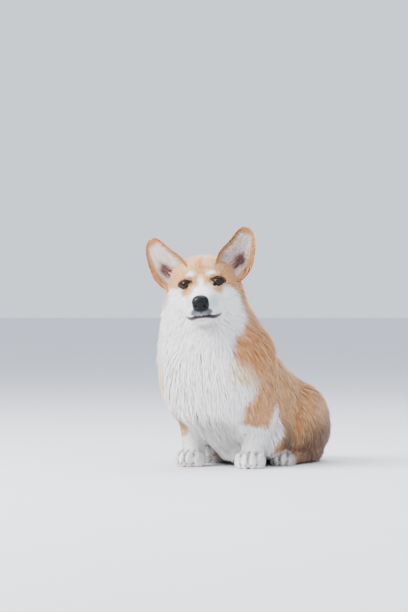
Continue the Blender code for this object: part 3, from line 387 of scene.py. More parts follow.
def mirrored(place, side):
    """A place of the dog's left as it is for side 1, or on its right for side -1."""
    return np.array(place) * (side, 1, 1)


def unit(vectors):
    """Each vector over its own length."""
    return vectors / np.maximum(np.linalg.norm(vectors, axis=-1, keepdims=True), 1e-12)


def eased(value, low, high):
    """0 below low, 1 above high and 3t^2 - 2t^3 between them."""
    t = np.clip((value - low) / (high - low), 0.0, 1.0)
    return t * t * (3 - 2 * t)


def oval(count, wide, front, back, power):
    """Superellipse: x = wide c^(2/power), y = front or back times s^(2/power)."""
    turns = np.linspace(0, 2 * math.pi, count, endpoint=False)
    c, s = np.cos(turns), np.sin(turns)
    x = wide[:, None] * np.sign(c) * np.abs(c) ** (2 / power[:, None])
    reach = np.where(s < 0, front[:, None], back[:, None])
    return x, reach * np.sign(s) * np.abs(s) ** (2 / power[:, None])


def wound(rows, count, around):
    """Triangles between rings of points, and from the last ring to the first if around."""
    i, j = np.meshgrid(np.arange(rows if around else rows - 1), np.arange(count),
                       indexing="ij")
    k, n = (j + 1) % count, (i + 1) % rows
    a, b, c, d = i * count + j, i * count + k, n * count + k, n * count + j
    return np.concatenate([np.stack([a, b, c], -1), np.stack([a, c, d], -1)]).reshape(-1, 3)


def shell(rings):
    """Vertices and triangles of a closed skin over rings, with a pole at each end."""
    rows, count = rings.shape[:2]
    points = np.vstack([rings.reshape(-1, 3), rings[0].mean(0), rings[-1].mean(0)])
    sides = wound(rows, count, False)
    turn = np.arange(count)
    after = (turn + 1) % count
    top = (rows - 1) * count
    low = np.stack([after, turn, np.full(count, rows * count)], -1)
    high = np.stack([top + turn, top + after, np.full(count, rows * count + 1)], -1)
    return points, outward(points, np.concatenate([sides, low, high]))


def outward(points, faces):
    """The faces, turned over if the volume that they close comes out negative."""
    a, b, c = (points[faces[:, i]] for i in range(3))
    volume = np.einsum("ij,ij->", a, np.cross(b, c))
    return faces if volume > 0 else faces[:, ::-1]


DOME_HEIGHT = 0.6
DOME_ANGLES = (math.radians(38), math.radians(68))


def domed(rings):
    """Rings with two shrinking ones added at each end, so that the end is a dome.

    At each of two angles the end's ring is scaled by cos and moved out by sin x height.
    """
    for end, beyond in ((0, 1), (-1, -2)):
        ring, middle = rings[end], rings[end].mean(0)
        reach = np.linalg.norm(ring - middle, axis=1).mean()
        way = unit(middle - rings[beyond].mean(0)) * reach
        extra = [middle + (ring - middle) * math.cos(t) + way * math.sin(t) * DOME_HEIGHT
                 for t in DOME_ANGLES]
        rings = (np.concatenate([extra[::-1], rings]) if end == 0
                 else np.concatenate([rings, extra]))
    return rings


def ball(middle, half, turn=None, rows=22, count=40):
    """Ellipsoid: middle + turn (half x (cos a cos b, sin a cos b, sin b))."""
    b = np.linspace(-0.5, 0.5, rows + 2)[1:-1, None] * math.pi
    a = np.linspace(0, 2 * math.pi, count, endpoint=False)[None, :]
    points = np.stack([np.cos(a) * np.cos(b), np.sin(a) * np.cos(b),
                       np.sin(b) * np.ones_like(a)], -1) * half
    if turn is not None:
        points = points @ turn.T
    return shell(points + np.array(middle))


def limb(rows, count=32, steps=5):
    """A closed tube through rows of (x, y, z, half width, front reach, back reach)."""
    rows = smooth_rows(rows, steps)
    along = unit(np.gradient(rows[:, :3], axis=0))
    side = unit(np.array((1.0, 0.0, 0.0)) - along * along[:, :1])
    depth = np.cross(along, side)
    x, y = oval(count, rows[:, 3], rows[:, 4], rows[:, 5], np.full(len(rows), 2.0))
    rings = (rows[:, None, :3] + side[:, None] * x[..., None] + depth[:, None] * y[..., None])
    return shell(domed(rings))


def turned(degrees, axis):
    """The matrix of a turn about an axis."""
    return np.array(Matrix.Rotation(math.radians(degrees), 3, axis))


def head_axes():
    """Columns are the head's left, forward and up in the dog's frame."""
    yaw = math.radians(HEAD_YAW)
    straight = np.array(((math.cos(yaw), math.sin(yaw), 0.0),
                         (math.sin(yaw), -math.cos(yaw), 0.0), (0.0, 0.0, 1.0))).T
    return straight @ turned(-HEAD_ROLL, "Y")


def from_head(points):
    """Points (left, forward, up) of the head frame in the dog's frame."""
    return np.asarray(points, float) @ head_axes().T + np.array(EYE_LINE)


def to_head(points):
    """Points of the dog's frame in the head frame."""
    return (np.asarray(points, float) - np.array(EYE_LINE)) @ head_axes()


def eye_axes(side):
    """Columns are the eye's across, outward and up in the head frame."""
    return turned(-side * EYE_TURN, "Z")


def from_eye(points, side):
    """Points (across, outward, up) about an eye's middle in the dog's frame."""
    return from_head(points @ eye_axes(side).T + mirrored(EYE_AT, side))


def to_eye(points, side):
    """Points of the dog's frame about an eye's middle."""
    return (to_head(points) - mirrored(EYE_AT, side)) @ eye_axes(side)


def in_head(form):
    """A form of the head frame in the dog's frame, its faces the right way round."""
    points = from_head(form[0])
    return points, outward(points, form[1])


def lying_form(rows, count, power):
    """Closed skin over upright ovals along Y: each row's oval fits its top and bottom."""
    tall, level = (rows[:, 1] - rows[:, 2]) / 2, (rows[:, 1] + rows[:, 2]) / 2
    x, z = oval(count, rows[:, 3], tall, tall, power)
    y = np.broadcast_to(rows[:, :1], x.shape)
    return shell(domed(np.stack([x, y, z + level[:, None]], -1)))


def skull_forms():
    """Head and muzzle with cheeks, brows, lids and lips."""
    forms = []
    for middle, half in HEAD_BALLS:
        for side in ((1, -1) if middle[0] else (1,)):
            forms.append(in_head(ball(mirrored(middle, side), half)))
    rows = smooth_rows(HEAD_RINGS, RING_STEPS)
    forms.append(in_head(lying_form(rows, 48, rows[:, 4])))
    return forms


def column_form():
    """Chest and neck: a closed skin over level ovals, one above the other."""
    rows = smooth_rows(COLUMN, RING_STEPS)
    x, y = oval(56, rows[:, 3], rows[:, 4], rows[:, 5], np.full(len(rows), BODY_SQUARENESS))
    z = np.broadcast_to(rows[:, :1], x.shape)
    return shell(domed(np.stack([x + rows[:, 1:2], y + rows[:, 2:3], z], -1)))


def barrel_form():
    """Belly, back and rump."""
    rows = smooth_rows(BARREL, RING_STEPS)
    return lying_form(rows, 56, np.full(len(rows), BODY_SQUARENESS))


def placed_toes(middle, toe_out, size):
    """The turn and place of each toe: (its middle, its own turn) in the dog's frame."""
    wide, long, high = size
    turn = turned(toe_out, "Z")
    base = np.array((middle[0], middle[1], 0.0))
    for across, ahead in TOES:
        lean = turned(-TOE_SPREAD * across, "Z")
        at = turn @ np.array((across * wide, -ahead * long, TOE_HEIGHT * high)) + base
        yield at, turn @ lean


def paw_forms(middle, toe_out, size):
    """Pad and four toes of a foot whose sole lies on the floor."""
    turn = turned(toe_out, "Z")
    base = np.array((middle[0], middle[1], 0.0))
    forms = [ball(turn @ (np.array(PAD_AT) * size) + base, np.array(PAD_HALF) * size, turn)]
    for at, lean in placed_toes(middle, toe_out, size):
        forms.append(ball(at, np.array(TOE_HALF) * size, lean))
    return forms


def foot_forms(sign, side, fore):
    """A foot with the lowest part of its leg."""
    if fore:
        place, rows = fore_place(side), leg_rows(FORELEG[:3], FORE_FOOT[side], sign)
    else:
        place, rows = hind_place(side), leg_rows(HOCK[:2], HIND_FOOT[side], sign)
    return paw_forms(*place) + [limb(rows)]


def leg_rows(rows, at, sign):
    """Rows (height, out, rear, half width, front, back) of a leg at its foot's place."""
    return [(at[0] + sign * out, at[1] + rear, high, wide, front, back)
            for high, out, rear, wide, front, back in rows]


def toe_gaps():
    """The lines between neighbouring toes: start and end of each in the dog's frame."""
    lines = []
    for _, side in SIDES:
        for place in (fore_place(side), hind_place(side)):
            spots = [at for at, _ in placed_toes(*place)]
            turn = turned(place[1], "Z")
            long, high = place[2][1], place[2][2]
            for one, two in zip(spots, spots[1:]):
                middle = (one + two) / 2 * (1, 1, 0)
                way = turn @ np.array((0.0, -1.0, 0.0))
                fan = unit((one + two) / 2 - np.array((*place[0], 0.0)))
                way = unit(way + TOE_GAP_FAN * fan * (1, 1, 0))
                knots = [middle + way * ahead * long + np.array((0, 0, up * high))
                         for ahead, up in TOE_GAP]
                lines += zip(knots, knots[1:])
    return lines


def gap_nearness(points, spread):
    """1 on the lines between the toes, falling by exp(-(distance / spread)^2)."""
    near = np.zeros(len(points))
    low = points[:, 2] < FOOT_TOP
    part = points[low]
    found = np.zeros(len(part))
    for start, end in toe_gaps():
        way = end - start
        t = np.clip((part - start) @ way / (way @ way), 0, 1)
        away = np.linalg.norm(part - start - t[:, None] * way, axis=1)
        found = np.maximum(found, np.exp(-(away / spread) ** 2))
    near[low] = found
    return near


def fore_place(side):
    """Middle, turn and size of a forepaw."""
    x, y = FORE_FOOT[side]
    return (x, y - TOES_AHEAD_OF_LEG), FORE_TOE_OUT[side], FORE_PAW


def hind_place(side):
    """Middle, turn and size of a hind paw."""
    return HIND_FOOT[side], HIND_TOE_OUT[side], HIND_PAW


def body_forms():
    """Column, barrel, tail, legs, haunches and feet."""
    x, y, z = TAIL_AT
    forms = [column_form(), barrel_form(), ball(*NAPE),
             limb([(x, y + rear, z + up, *half) for rear, up, *half in TAIL])]
    for sign, side in SIDES:
        forms.append(limb(leg_rows(FORELEG, FORE_FOOT[side], sign)))
        for middle, half, *lean in (THIGH, KNEE, FOLD):
            turn = turned(lean[0], "X") if lean else None
            forms.append(ball(mirrored(middle, sign), half, turn, 30, 56))
        forms.append(limb(leg_rows(HOCK, HIND_FOOT[side], sign)))
    return forms


def ear_form(side, across_steps=30, rows_steps=6):
    """One ear as a closed crescent tube along its height.

    At each height the back skin is an arc: across goes from the inner to the outer edge
    by (1 - cos pi t)/2, and depth is -cup sin(pi t)^0.8. The front skin is the same arc a
    wall's thickness forward, with a hollow pressed in near the root. Returns points,
    faces, the share across and along, and 1 on the front skin.
    """
    rows = smooth_rows(EAR_ROWS, rows_steps)
    height, inner, outer, cup = (rows[:, i : i + 1] for i in range(4))
    t = np.linspace(0, 1, across_steps + 1)[None, :]
    bend = np.sin(math.pi * t) ** 0.8
    across = inner + (outer - inner) * (0.5 - 0.5 * np.cos(math.pi * t))
    back = -cup * bend
    wall = EAR_WALL * (0.30 + 0.70 * bend) * np.minimum(1.0, cup / 0.006)
    share = (height - rows[0, 0]) / (rows[-1, 0] - rows[0, 0])
    hollow = np.exp(-((t - 0.55) / 0.15) ** 2 - ((height - 0.000) / 0.018) ** 2)
    front = back + wall * (1 - 0.75 * hollow)
    level = np.broadcast_to(height, across.shape)
    ring = [np.concatenate([one, two[:, ::-1][:, 1:-1]], 1) for one, two in
            ((across, across), (back, front), (level, level))]
    shares = np.broadcast_to(t, across.shape)
    along = np.broadcast_to(share, across.shape)
    info = [np.concatenate([a, b[:, ::-1][:, 1:-1]], 1) for a, b in
            ((shares, shares), (along, along), (np.zeros_like(across), np.ones_like(across)))]
    points, faces = shell(np.stack(ring, -1))
    turn = turned(EAR_LEAN, "Y") @ turned(EAR_BACK_LEAN, "X") @ turned(-EAR_FACING, "Z")
    points = points @ turn.T + np.array(EAR_AT[side])
    points[:, 0] *= side
    info = np.stack(info, -1).reshape(-1, 3)
    info = np.vstack([info, info[: info.shape[0] // len(rows)].mean(0),
                      info[-(info.shape[0] // len(rows)):].mean(0)])
    points = from_head(points)
    return points, outward(points, faces), info


def merged(forms):
    """Several (points, faces) as one."""
    points, faces, count = [], [], 0
    for one, two in forms:
        points.append(one)
        faces.append(two + count)
        count += len(one)
    return np.concatenate(points), np.concatenate(faces)


def mesh_from(name, points, faces):
    """A smooth mesh of triangles, filled from whole arrays."""
    mesh = bpy.data.meshes.new(name)
    mesh.vertices.add(len(points))
    mesh.vertices.foreach_set("co", np.asarray(points, np.float32).ravel())
    mesh.loops.add(len(faces) * 3)
    mesh.loops.foreach_set("vertex_index", np.asarray(faces, np.int32).ravel())
    mesh.polygons.add(len(faces))
    mesh.polygons.foreach_set("loop_start", np.arange(0, len(faces) * 3, 3, dtype=np.int32))
    mesh.polygons.foreach_set("use_smooth", np.ones(len(faces), bool))
    mesh.update(calc_edges=True)
    return mesh


def linked(name, data):
    """A new object in the scene."""
    thing = bpy.data.objects.new(name, data)
    bpy.context.scene.collection.objects.link(thing)
    return thing


def arrays_of(mesh):
    """Points and triangles of a mesh."""
    mesh.calc_loop_triangles()
    points = np.empty(len(mesh.vertices) * 3, np.float32)
    mesh.vertices.foreach_get("co", points)
    faces = np.empty(len(mesh.loop_triangles) * 3, np.int32)
    mesh.loop_triangles.foreach_get("vertices", faces)
    return points.reshape(-1, 3).astype(float), faces.reshape(-1, 3)


def evaluated(name, points, faces, modifiers):
    """Arrays of a mesh after modifiers, each (type, settings)."""
    thing = linked(name, mesh_from(name, points, faces))
    for kind, settings in modifiers:
        step = thing.modifiers.new(kind.lower(), kind)
        for key, value in settings.items():
            setattr(step, key, value)
    bpy.context.view_layer.update()
    graph = bpy.context.evaluated_depsgraph_get()
    mesh = bpy.data.meshes.new_from_object(thing.evaluated_get(graph))
    result = arrays_of(mesh)
    bpy.data.objects.remove(thing)
    bpy.data.meshes.remove(mesh)
    return result


def vertex_normals(points, faces):
    """Area-weighted normals of the points."""
    a, b, c = (points[faces[:, i]] for i in range(3))
    normal = np.cross(b - a, c - a)
    total = np.zeros_like(points)
    for i in range(3):
        for axis in range(3):
            total[:, axis] += np.bincount(faces[:, i], normal[:, axis], len(points))
    return unit(total)


def neck_normal():
    """The way out of the neck plane, towards the head."""
    return turned(HEAD_YAW, "Z") @ turned(NECK_PLANE[1], "X") @ UP


def parted(points, faces, keep_above, sink):
    """The part of a closed skin on one side of the neck plane, closed again there.

    Its last points before the plane dive under the other part, by sink times the eased
    nearness to the plane.
    """
    normal = neck_normal()
    mesh = bmesh.new()
    made = mesh_from("part", points, faces)
    mesh.from_mesh(made)
    bpy.data.meshes.remove(made)
    side = 1 if keep_above else -1
    edge = np.array(NECK_PLANE[0]) - normal * side * NECK_OVERLAP / 2
    bmesh.ops.bisect_plane(mesh, geom=mesh.verts[:] + mesh.edges[:] + mesh.faces[:],
                           plane_co=edge, plane_no=normal * side, clear_inner=True)
    rim = [e for e in mesh.edges if e.is_boundary]
    bmesh.ops.holes_fill(mesh, edges=rim, sides=0)
    bmesh.ops.triangulate(mesh, faces=mesh.faces)
    made = bpy.data.meshes.new("part")
    mesh.to_mesh(made)
    mesh.free()
    points, faces = arrays_of(made)
    bpy.data.meshes.remove(made)
    near = 1 - eased((points - edge) @ normal * side, 0.0, NECK_OVERLAP)
    return points - vertex_normals(points, faces) * (near * sink)[:, None], faces


def coat_rows():
    """The coat's named places in the dog's frame, mirrored where they lie to a side."""
    rows = []
    for table, is_head in ((HEAD_COAT, True), (BODY_COAT, False)):
        for at, lie, length, depth, width, close in table:
            for side in ((1, -1) if at[0] else (1,)):
                place = mirrored(at, side)
                way = unit(mirrored(lie, side))
                if is_head:
                    place, way = from_head(place), head_axes() @ way
                rows.append((*place, *way, length, depth, width, close))
    return np.array(rows)


BLEND_REACH = 0.012
BATCH = 20000
EYE_REACH = 0.017
EYE_TURN_OUT = 1.6
EYE_TURN_UP = 0.004


def coat_at(points):
    """Way, length, depth, width and closeness of the coat at points.

    Each is the mean of the named places, weighed by 1 / (distance^2 + reach^2)^2. Round
    the eyes the way turns outwards, by exp(-(distance / reach)^2).
    """
    rows = MADE["coat_rows"]
    found = np.empty((len(points), rows.shape[1] - 3))
    for start in range(0, len(points), BATCH):
        part = points[start : start + BATCH]
        away = ((part[:, None] - rows[None, :, :3]) ** 2).sum(-1)
        weight = 1 / (away + BLEND_REACH**2) ** 2
        found[start : start + BATCH] = (weight @ rows[:, 3:]) / weight.sum(1, keepdims=True)
    way = found[:, :3]
    for side in (1, -1):
        middle = from_eye(np.zeros((1, 3)), side)[0]
        off = points - middle
        near = np.exp(-(np.linalg.norm(off, axis=1) / EYE_REACH) ** 2)[:, None]
        way = way + EYE_TURN_OUT * near * unit(off + EYE_TURN_UP * head_axes()[:, 2])
    return unit(way), found[:, 3], found[:, 4], found[:, 5], found[:, 6]


def lattice_noise(points, scale, seed):
    """Value noise from -1 to 1: hashed lattice values, blended with 3t^2 - 2t^3."""
    grid = points / scale + seed * 17.3
    base = np.floor(grid).astype(np.int64)
    t = grid - base
    t = t * t * (3 - 2 * t)
    total = np.zeros(len(points))
    for corner in range(8):
        bits = np.array([(corner >> i) & 1 for i in range(3)])
        cell = base + bits
        mixed = (cell[:, 0] * 73856093 ^ cell[:, 1] * 19349663 ^ cell[:, 2] * 83492791)
        mixed = (mixed * 1103515245 + 12345 + seed * 7919) & 0x7FFFFFFF
        value = ((mixed >> 8) & 0xFFFF) / 32767.5 - 1
        weight = np.prod(np.where(bits, t, 1 - t), axis=1)
        total += value * weight
    return total


def ragged(points, shift, scale, seeds):
    """Points moved by up to shift, by value noise of a scale."""
    return points + shift * np.stack([lattice_noise(points, scale, seed) for seed in seeds], -1)


# How far noise moves the edges of patches, its scale and its seeds.
BODY_RAGGED = (0.004, 0.011, (3, 5, 8))
HEAD_RAGGED = (0.0012, 0.004, (4, 6, 9))
HEAD_PATCHES_END = (-0.12, -0.09)
# Painted shade in the gaps between the toes: its spread, its strength and its tone as a share
# of brown.
GAP_SHADE_SPREAD = 0.0026
GAP_SHADE_STRENGTH = 0.85
GAP_SHADE_TONE = 0.35
LEATHER_EDGE = (0.95, 1.12)
LEATHER_DARKNESS = 0.97


def markings(points):
    """Colour of the coat at points: the base tan with every patch laid over it.

    A patch covers where |(p - middle) / half| is below 1, with an eased edge, after the
    points are shifted by a little noise so that no edge is a clean curve. The gaps between
    the toes are darkened as painted shade, and the skin under the nose leather is dark.
    """
    colours = palette()
    frames = {"body": ragged(points, *BODY_RAGGED),
              "head": to_head(ragged(points, *HEAD_RAGGED))}
    head = to_head(points)
    near_head = eased(head[:, 2] - 0.5 * head[:, 1], *HEAD_PATCHES_END)
    colour = np.broadcast_to(colours["tan"], (len(points), 3)).copy()
    for name, only, middle, half, tone, soft in PATCHES:
        for side in (1, -1) if (middle[0] or only) else (1,):
            if only and side != only:
                continue
            away = np.linalg.norm(
                (frames[name] - mirrored(middle, side)) / np.array(half), axis=1)
            cover = 1 - eased(away, 1 - soft, 1 + 0.3 * soft)
            if name == "head":
                cover = cover * near_head
            colour += (colours[tone] - colour) * cover[:, None]
    gap_shade = GAP_SHADE_STRENGTH * gap_nearness(points, GAP_SHADE_SPREAD)[:, None]
    colour += (GAP_SHADE_TONE * colours["brown"] - colour) * gap_shade
    dark = 1 - eased(off_nose(points), *LEATHER_EDGE)
    return colour * (1 - LEATHER_DARKNESS * dark[:, None])


def ear_markings(info):
    """Colour on the ears from the share across, the share along and the skin's side."""
    colours = palette()
    across, along, front = info.T
    share = 0.5 - 0.5 * np.cos(math.pi * across)
    rim = 1 - eased(np.minimum(share, 1.15 - share), 0.05, 0.15) + eased(along, 0.84, 0.94)
    rim = rim + 1 - eased(1 - share, 0.08, 0.19)
    inner = front * (1 - np.clip(rim, 0, 1))
    # The hollow of the cup and a fold near the root go dark red: partly the ear's own skin,
    # partly painted shade in these recesses.
    hollow = front * np.exp(-((across - 0.60) / 0.11) ** 2 - ((along - 0.36) / 0.15) ** 2)
    fold = front * np.exp(-((across - 0.84) / 0.05) ** 2 - ((along - 0.20) / 0.05) ** 2)
    streak = lattice_noise(np.stack([across * 22, along * 5, front], -1), 1.0, 31)
    hollow = hollow + 0.6 * fold + 0.22 * np.clip(streak, 0, 1) * (along < 0.75)
    colour = colours["tan"] + (colours["rich"] - colours["tan"]) * np.clip(rim, 0, 1)[:, None]
    colour = colour + (colours["ear_hair"] - colour) * inner[:, None]
    return colour + (colours["ear_skin_and_shade"] - colour) * np.clip(1.7 * hollow, 0, 1)[:, None]


def almond(across, up):
    """How far a point of the eye's plane lies out from its middle: 1 on the opening."""
    half, rise = EYE_OPENING
    x = np.clip(np.abs(across) / half, 0, 3)
    lid = np.where(up > 0, rise, LOWER_LID * rise)
    return np.sqrt(x**2 + (up / lid) ** 2)


SOCKET_DEPTH = 0.014
SOCKET_EDGE = (1.25, 1.95)
SOCKET_REACH = 0.03
NOSE_BED = 0.008
NOSE_BED_EDGE = (0.80, 1.02)
MOUTH_MIDDLE = (0.0, 0.045, -0.06)
MOUTH_REACH = 0.07
MOUTH_DEPTH = 0.0024
MOUTH_WIDTH = 0.0018


def pressed_eyes(points):
    """Skin pressed back behind the eyeballs inside the lids' openings."""
    for side in (1, -1):
        local = to_eye(points, side)
        out = almond(local[:, 0], local[:, 2])
        press = (1 - eased(out, *SOCKET_EDGE)) * (local[:, 1] > 0) * SOCKET_DEPTH
        local[:, 1] -= press * (np.linalg.norm(local, axis=1) < SOCKET_REACH)
        points = np.where((press > 0)[:, None], from_eye(local, side), points)
    return points


def off_nose(points):
    """How far points lie out from the middle of the nose leather: 1 on its surface."""
    return np.linalg.norm((to_head(points) - NOSE_AT) / NOSE_HALF, axis=1)


def pressed_nose(points):
    """Skin pressed back 8 mm behind the nose leather, eased out at its edge."""
    press = NOSE_BED * (1 - eased(off_nose(points), *NOSE_BED_EDGE))
    return from_head(to_head(points) - np.array((0, 1, 0)) * press[:, None])


def mouth_line(steps=10):
    """The whole line of the mouth in the head frame, from the right corner to the left."""
    half = smooth_rows(MOUTH, steps)
    return np.vstack([half * (-1, 1, 1), half[::-1][1:]])


def off_line(points, line, middle):
    """Distance of points from a line, or 1 m for those far from the line's middle."""
    near = np.linalg.norm(points - middle, axis=1) < MOUTH_REACH
    away = np.full(len(points), 1.0)
    away[near] = np.linalg.norm(points[near][:, None] - line[None], axis=2).min(1)
    return away


def grooved(points, normals):
    """Skin pressed in along the mouth: its depth times exp(-(distance / its width)^2)."""
    away = off_line(points, from_head(mouth_line()), from_head(MOUTH_MIDDLE))
    return points - normals * (MOUTH_DEPTH * np.exp(-(away / MOUTH_WIDTH) ** 2))[:, None]


INSET_BODY = 0.80
INSET_LESS_ON_HEAD = 0.25
INSET_CHANGE = (0.27, 0.31)


def inset(points, faces):
    """Skin moved inwards by a share of the coat's depth, a smaller share on the head."""
    normals = vertex_normals(points, faces)
    depth = coat_at(points)[2]
    share = INSET_BODY - INSET_LESS_ON_HEAD * eased(points[:, 2], *INSET_CHANGE)
    return points - normals * (depth * share)[:, None]


def material(name, values):
    """A new material, its nodes and its links, with the shader's values by name."""
    made = bpy.data.materials.new(name)
    made.use_nodes = True
    set_inputs(made.node_tree.nodes["Principled BSDF"], values)
    return made, made.node_tree.nodes, made.node_tree.links


def node(nodes, kind, x=0, y=0, **settings):
    """A new node at a place of the sheet, with its settings."""
    made = nodes.new(kind)
    made.location = (x, y)
    for key, value in settings.items():
        setattr(made, key, value)
    return made


def set_inputs(made, values):
    """Plain values for a node's sockets, by name."""
    for name, value in values.items():
        made.inputs[name].default_value = value


def worked(nodes, links, at, operation, *terms):
    """The result of a Math node over sockets or plain numbers."""
    made = node(nodes, "ShaderNodeMath", *at, operation=operation)
    for socket, term in zip(made.inputs, terms):
        if isinstance(term, float):
            socket.default_value = term
        else:
            links.new(term, socket)
    return made.outputs[0]


def bumped(nodes, links, height, strength, distance, invert=False):
    """Feeds the shader's normal from a height."""
    bump = node(nodes, "ShaderNodeBump", -400, -300, invert=invert)
    set_inputs(bump, {"Strength": strength, "Distance": distance})
    links.new(height, bump.inputs["Height"])
    links.new(bump.outputs["Normal"], nodes["Principled BSDF"].inputs["Normal"])


def two_toned(nodes, links, value, low, high):
    """Feeds the shader's base colour from low to high by a value."""
    ramp = node(nodes, "ShaderNodeValToRGB", -350, 0)
    for stop, tone in zip(ramp.color_ramp.elements, (low, high)):
        stop.color = (*tone, 1.0)
    links.new(value, ramp.inputs["Fac"])
    links.new(ramp.outputs["Color"], nodes["Principled BSDF"].inputs["Base Color"])


def group_of(name, inputs, outputs):
    """A shader node group with named sockets, each (name, type, default)."""
    tree = bpy.data.node_groups.new(name, "ShaderNodeTree")
    for socket_name, kind, default in inputs:
        socket = tree.interface.new_socket(socket_name, in_out="INPUT", socket_type=kind)
        if default is not None:
            socket.default_value = default
    for socket_name, kind in outputs:
        tree.interface.new_socket(socket_name, in_out="OUTPUT", socket_type=kind)
    return tree, tree.nodes, tree.links


def grain_group():
    """Fine noise over a piece, by its scale."""
    tree, nodes, links = group_of("grain", (("Scale", "NodeSocketFloat", 5.0),),
                                  (("Grain", "NodeSocketFloat"),))
    start = node(nodes, "NodeGroupInput", -400, -100)
    place = node(nodes, "ShaderNodeTexCoord", -400, 100)
    noise = node(nodes, "ShaderNodeTexNoise", -200, 0)
    links.new(place.outputs["Object"], noise.inputs["Vector"])
    links.new(start.outputs["Scale"], noise.inputs["Scale"])
    end = node(nodes, "NodeGroupOutput", 0, 0)
    links.new(noise.outputs["Fac"], end.inputs["Grain"])
    return tree


def grain_of(nodes, scale):
    """The grain's output in a material, at a scale."""
    if "grain" not in MADE:
        MADE["grain"] = grain_group()
    made = node(nodes, "ShaderNodeGroup", -600, -300, node_tree=MADE["grain"])
    made.inputs["Scale"].default_value = scale
    return made.outputs["Grain"]


def coat_tone_group():
    """Colour of hair from its mark: darker at the root, mottled, each tuft a little off."""
    tree, nodes, links = group_of("coat tone", (
        ("Mark", "NodeSocketColor", None), ("Along", "NodeSocketFloat", 1.0),
        ("Chance", "NodeSocketFloat", 0.5), ("Root Shade", "NodeSocketFloat", 0.90),
        ("Spread", "NodeSocketFloat", 0.10), ("Mottle", "NodeSocketFloat", 0.10)),
        (("Colour", "NodeSocketColor"),))
    start = node(nodes, "NodeGroupInput", -900, 0)
    place = node(nodes, "ShaderNodeTexCoord", -900, -300)
    mottle = node(nodes, "ShaderNodeTexNoise", -700, -300)
    set_inputs(mottle, {"Scale": 38.0, "Detail": 3.0})
    links.new(place.outputs["Object"], mottle.inputs["Vector"])
    both = []
    for name, value, y in (("Spread", start.outputs["Chance"], -120),
                           ("Mottle", mottle.outputs["Fac"], -300)):
        off = worked(nodes, links, (-520, y), "SUBTRACT", value, 0.5)
        both.append(worked(nodes, links, (-360, y), "MULTIPLY", off, start.outputs[name]))
    # Painted shade: the colour rises from Root Shade at the root to full towards the tip, for
    # the shade deep in the coat.
    rise = node(nodes, "ShaderNodeMapRange", -520, 120, interpolation_type="SMOOTHSTEP")
    rise.inputs["From Max"].default_value = 0.55
    links.new(start.outputs["Along"], rise.inputs["Value"])
    links.new(start.outputs["Root Shade"], rise.inputs["To Min"])
    own = worked(nodes, links, (-200, -200), "ADD", *both)
    total = worked(nodes, links, (-40, 0), "ADD", rise.outputs["Result"], own)
    scaled = node(nodes, "ShaderNodeVectorMath", 120, 0, operation="SCALE")
    links.new(start.outputs["Mark"], scaled.inputs[0])
    links.new(total, scaled.inputs["Scale"])
    end = node(nodes, "NodeGroupOutput", 300, 0)
    links.new(scaled.outputs[0], end.inputs["Colour"])
    return tree


def marked(nodes):
    """The colour of a piece's mark attribute."""
    return node(nodes, "ShaderNodeAttribute", -600, 100, attribute_name="mark").outputs["Color"]


def coat_material():
    """Hair: the mark's colour through the coat tone, soft and a little lustrous."""
    made, nodes, links = material("coat", {
        "Roughness": 0.62, "Specular IOR Level": 0.25, "Sheen Weight": 0.18,
        "Sheen Roughness": 0.5})
    grain = node(nodes, "ShaderNodeAttribute", -600, -100, attribute_name="grain")
    parts = node(nodes, "ShaderNodeSeparateXYZ", -420, -100)
    links.new(grain.outputs["Vector"], parts.inputs[0])
    tone = node(nodes, "ShaderNodeGroup", -220, 0, node_tree=MADE["coat_tone"])
    links.new(marked(nodes), tone.inputs["Mark"])
    links.new(parts.outputs["X"], tone.inputs["Along"])
    links.new(parts.outputs["Y"], tone.inputs["Chance"])
    links.new(tone.outputs["Colour"], nodes["Principled BSDF"].inputs["Base Color"])
    return made


def skin_material():
    """Under-coat: the same marks with fine bump, like hair seen from far."""
    made, nodes, links = material("under coat", {"Roughness": 0.8, "Specular IOR Level": 0.2})
    tone = node(nodes, "ShaderNodeGroup", -220, 0, node_tree=MADE["coat_tone"])
    # The under-coat takes the painted root shade part way.
    tone.inputs["Along"].default_value = 0.45
    links.new(marked(nodes), tone.inputs["Mark"])
    links.new(tone.outputs["Colour"], nodes["Principled BSDF"].inputs["Base Color"])
    bumped(nodes, links, grain_of(nodes, 900.0), 0.5, 0.0006)
    return made


def colour_attribute(mesh, name, values):
    """A colour attribute on points from rows of three values."""
    made = mesh.attributes.new(name, "FLOAT_COLOR", "POINT")
    rgba = np.ones((len(values), 4), np.float32)
    rgba[:, :3] = values
    made.data.foreach_set("color", rgba.ravel())


def add_piece(name, points, faces, slot, finish, replaced=()):
    """Links a new piece at its place in the solids' frame."""
    mesh = mesh_from(name, points + BOX_SHIFT, faces)
    thing = linked(name, mesh)
    mesh.materials.append(finish)
    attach(thing, "root")
    if replaced:
        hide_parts(*replaced)
    return thing


FLESH = ["head", "neck", "chest", "torso", "rump", "tail"] + [
    f"{part}_{side}" for part in ("foreleg", "forepaw", "thigh", "hind_foot", "ear")
    for side in ("left", "right")]


FOOT_DIP = 0.0034
FOOT_DIP_SPREAD = 0.0032
ABOVE_FLOOR = 0.0006


def fused(name, forms, voxel, rounds):
    """Points and faces of forms made one skin, then smoothed."""
    return evaluated(name, *merged(forms), (
        ("REMESH", {"mode": "VOXEL", "voxel_size": voxel}),
        ("SMOOTH", {"factor": 0.5, "iterations": rounds})))


def head_and_body(fine, coarse):
    """The skin above and below the neck plane."""
    parts = []
    for voxel, above in ((fine, True), (coarse, False)):
        forms = skull_forms() + ([column_form(), ball(*NAPE)] if above else body_forms())
        points, faces = fused("flesh", forms, voxel, 6)
        points = inset(points, faces)
        if above:
            points = grooved(points, vertex_normals(points, faces))
            points = pressed_nose(pressed_eyes(points))
        parts.append(parted(points, faces, above, HEAD_SINK if above else BODY_SINK))
    return parts


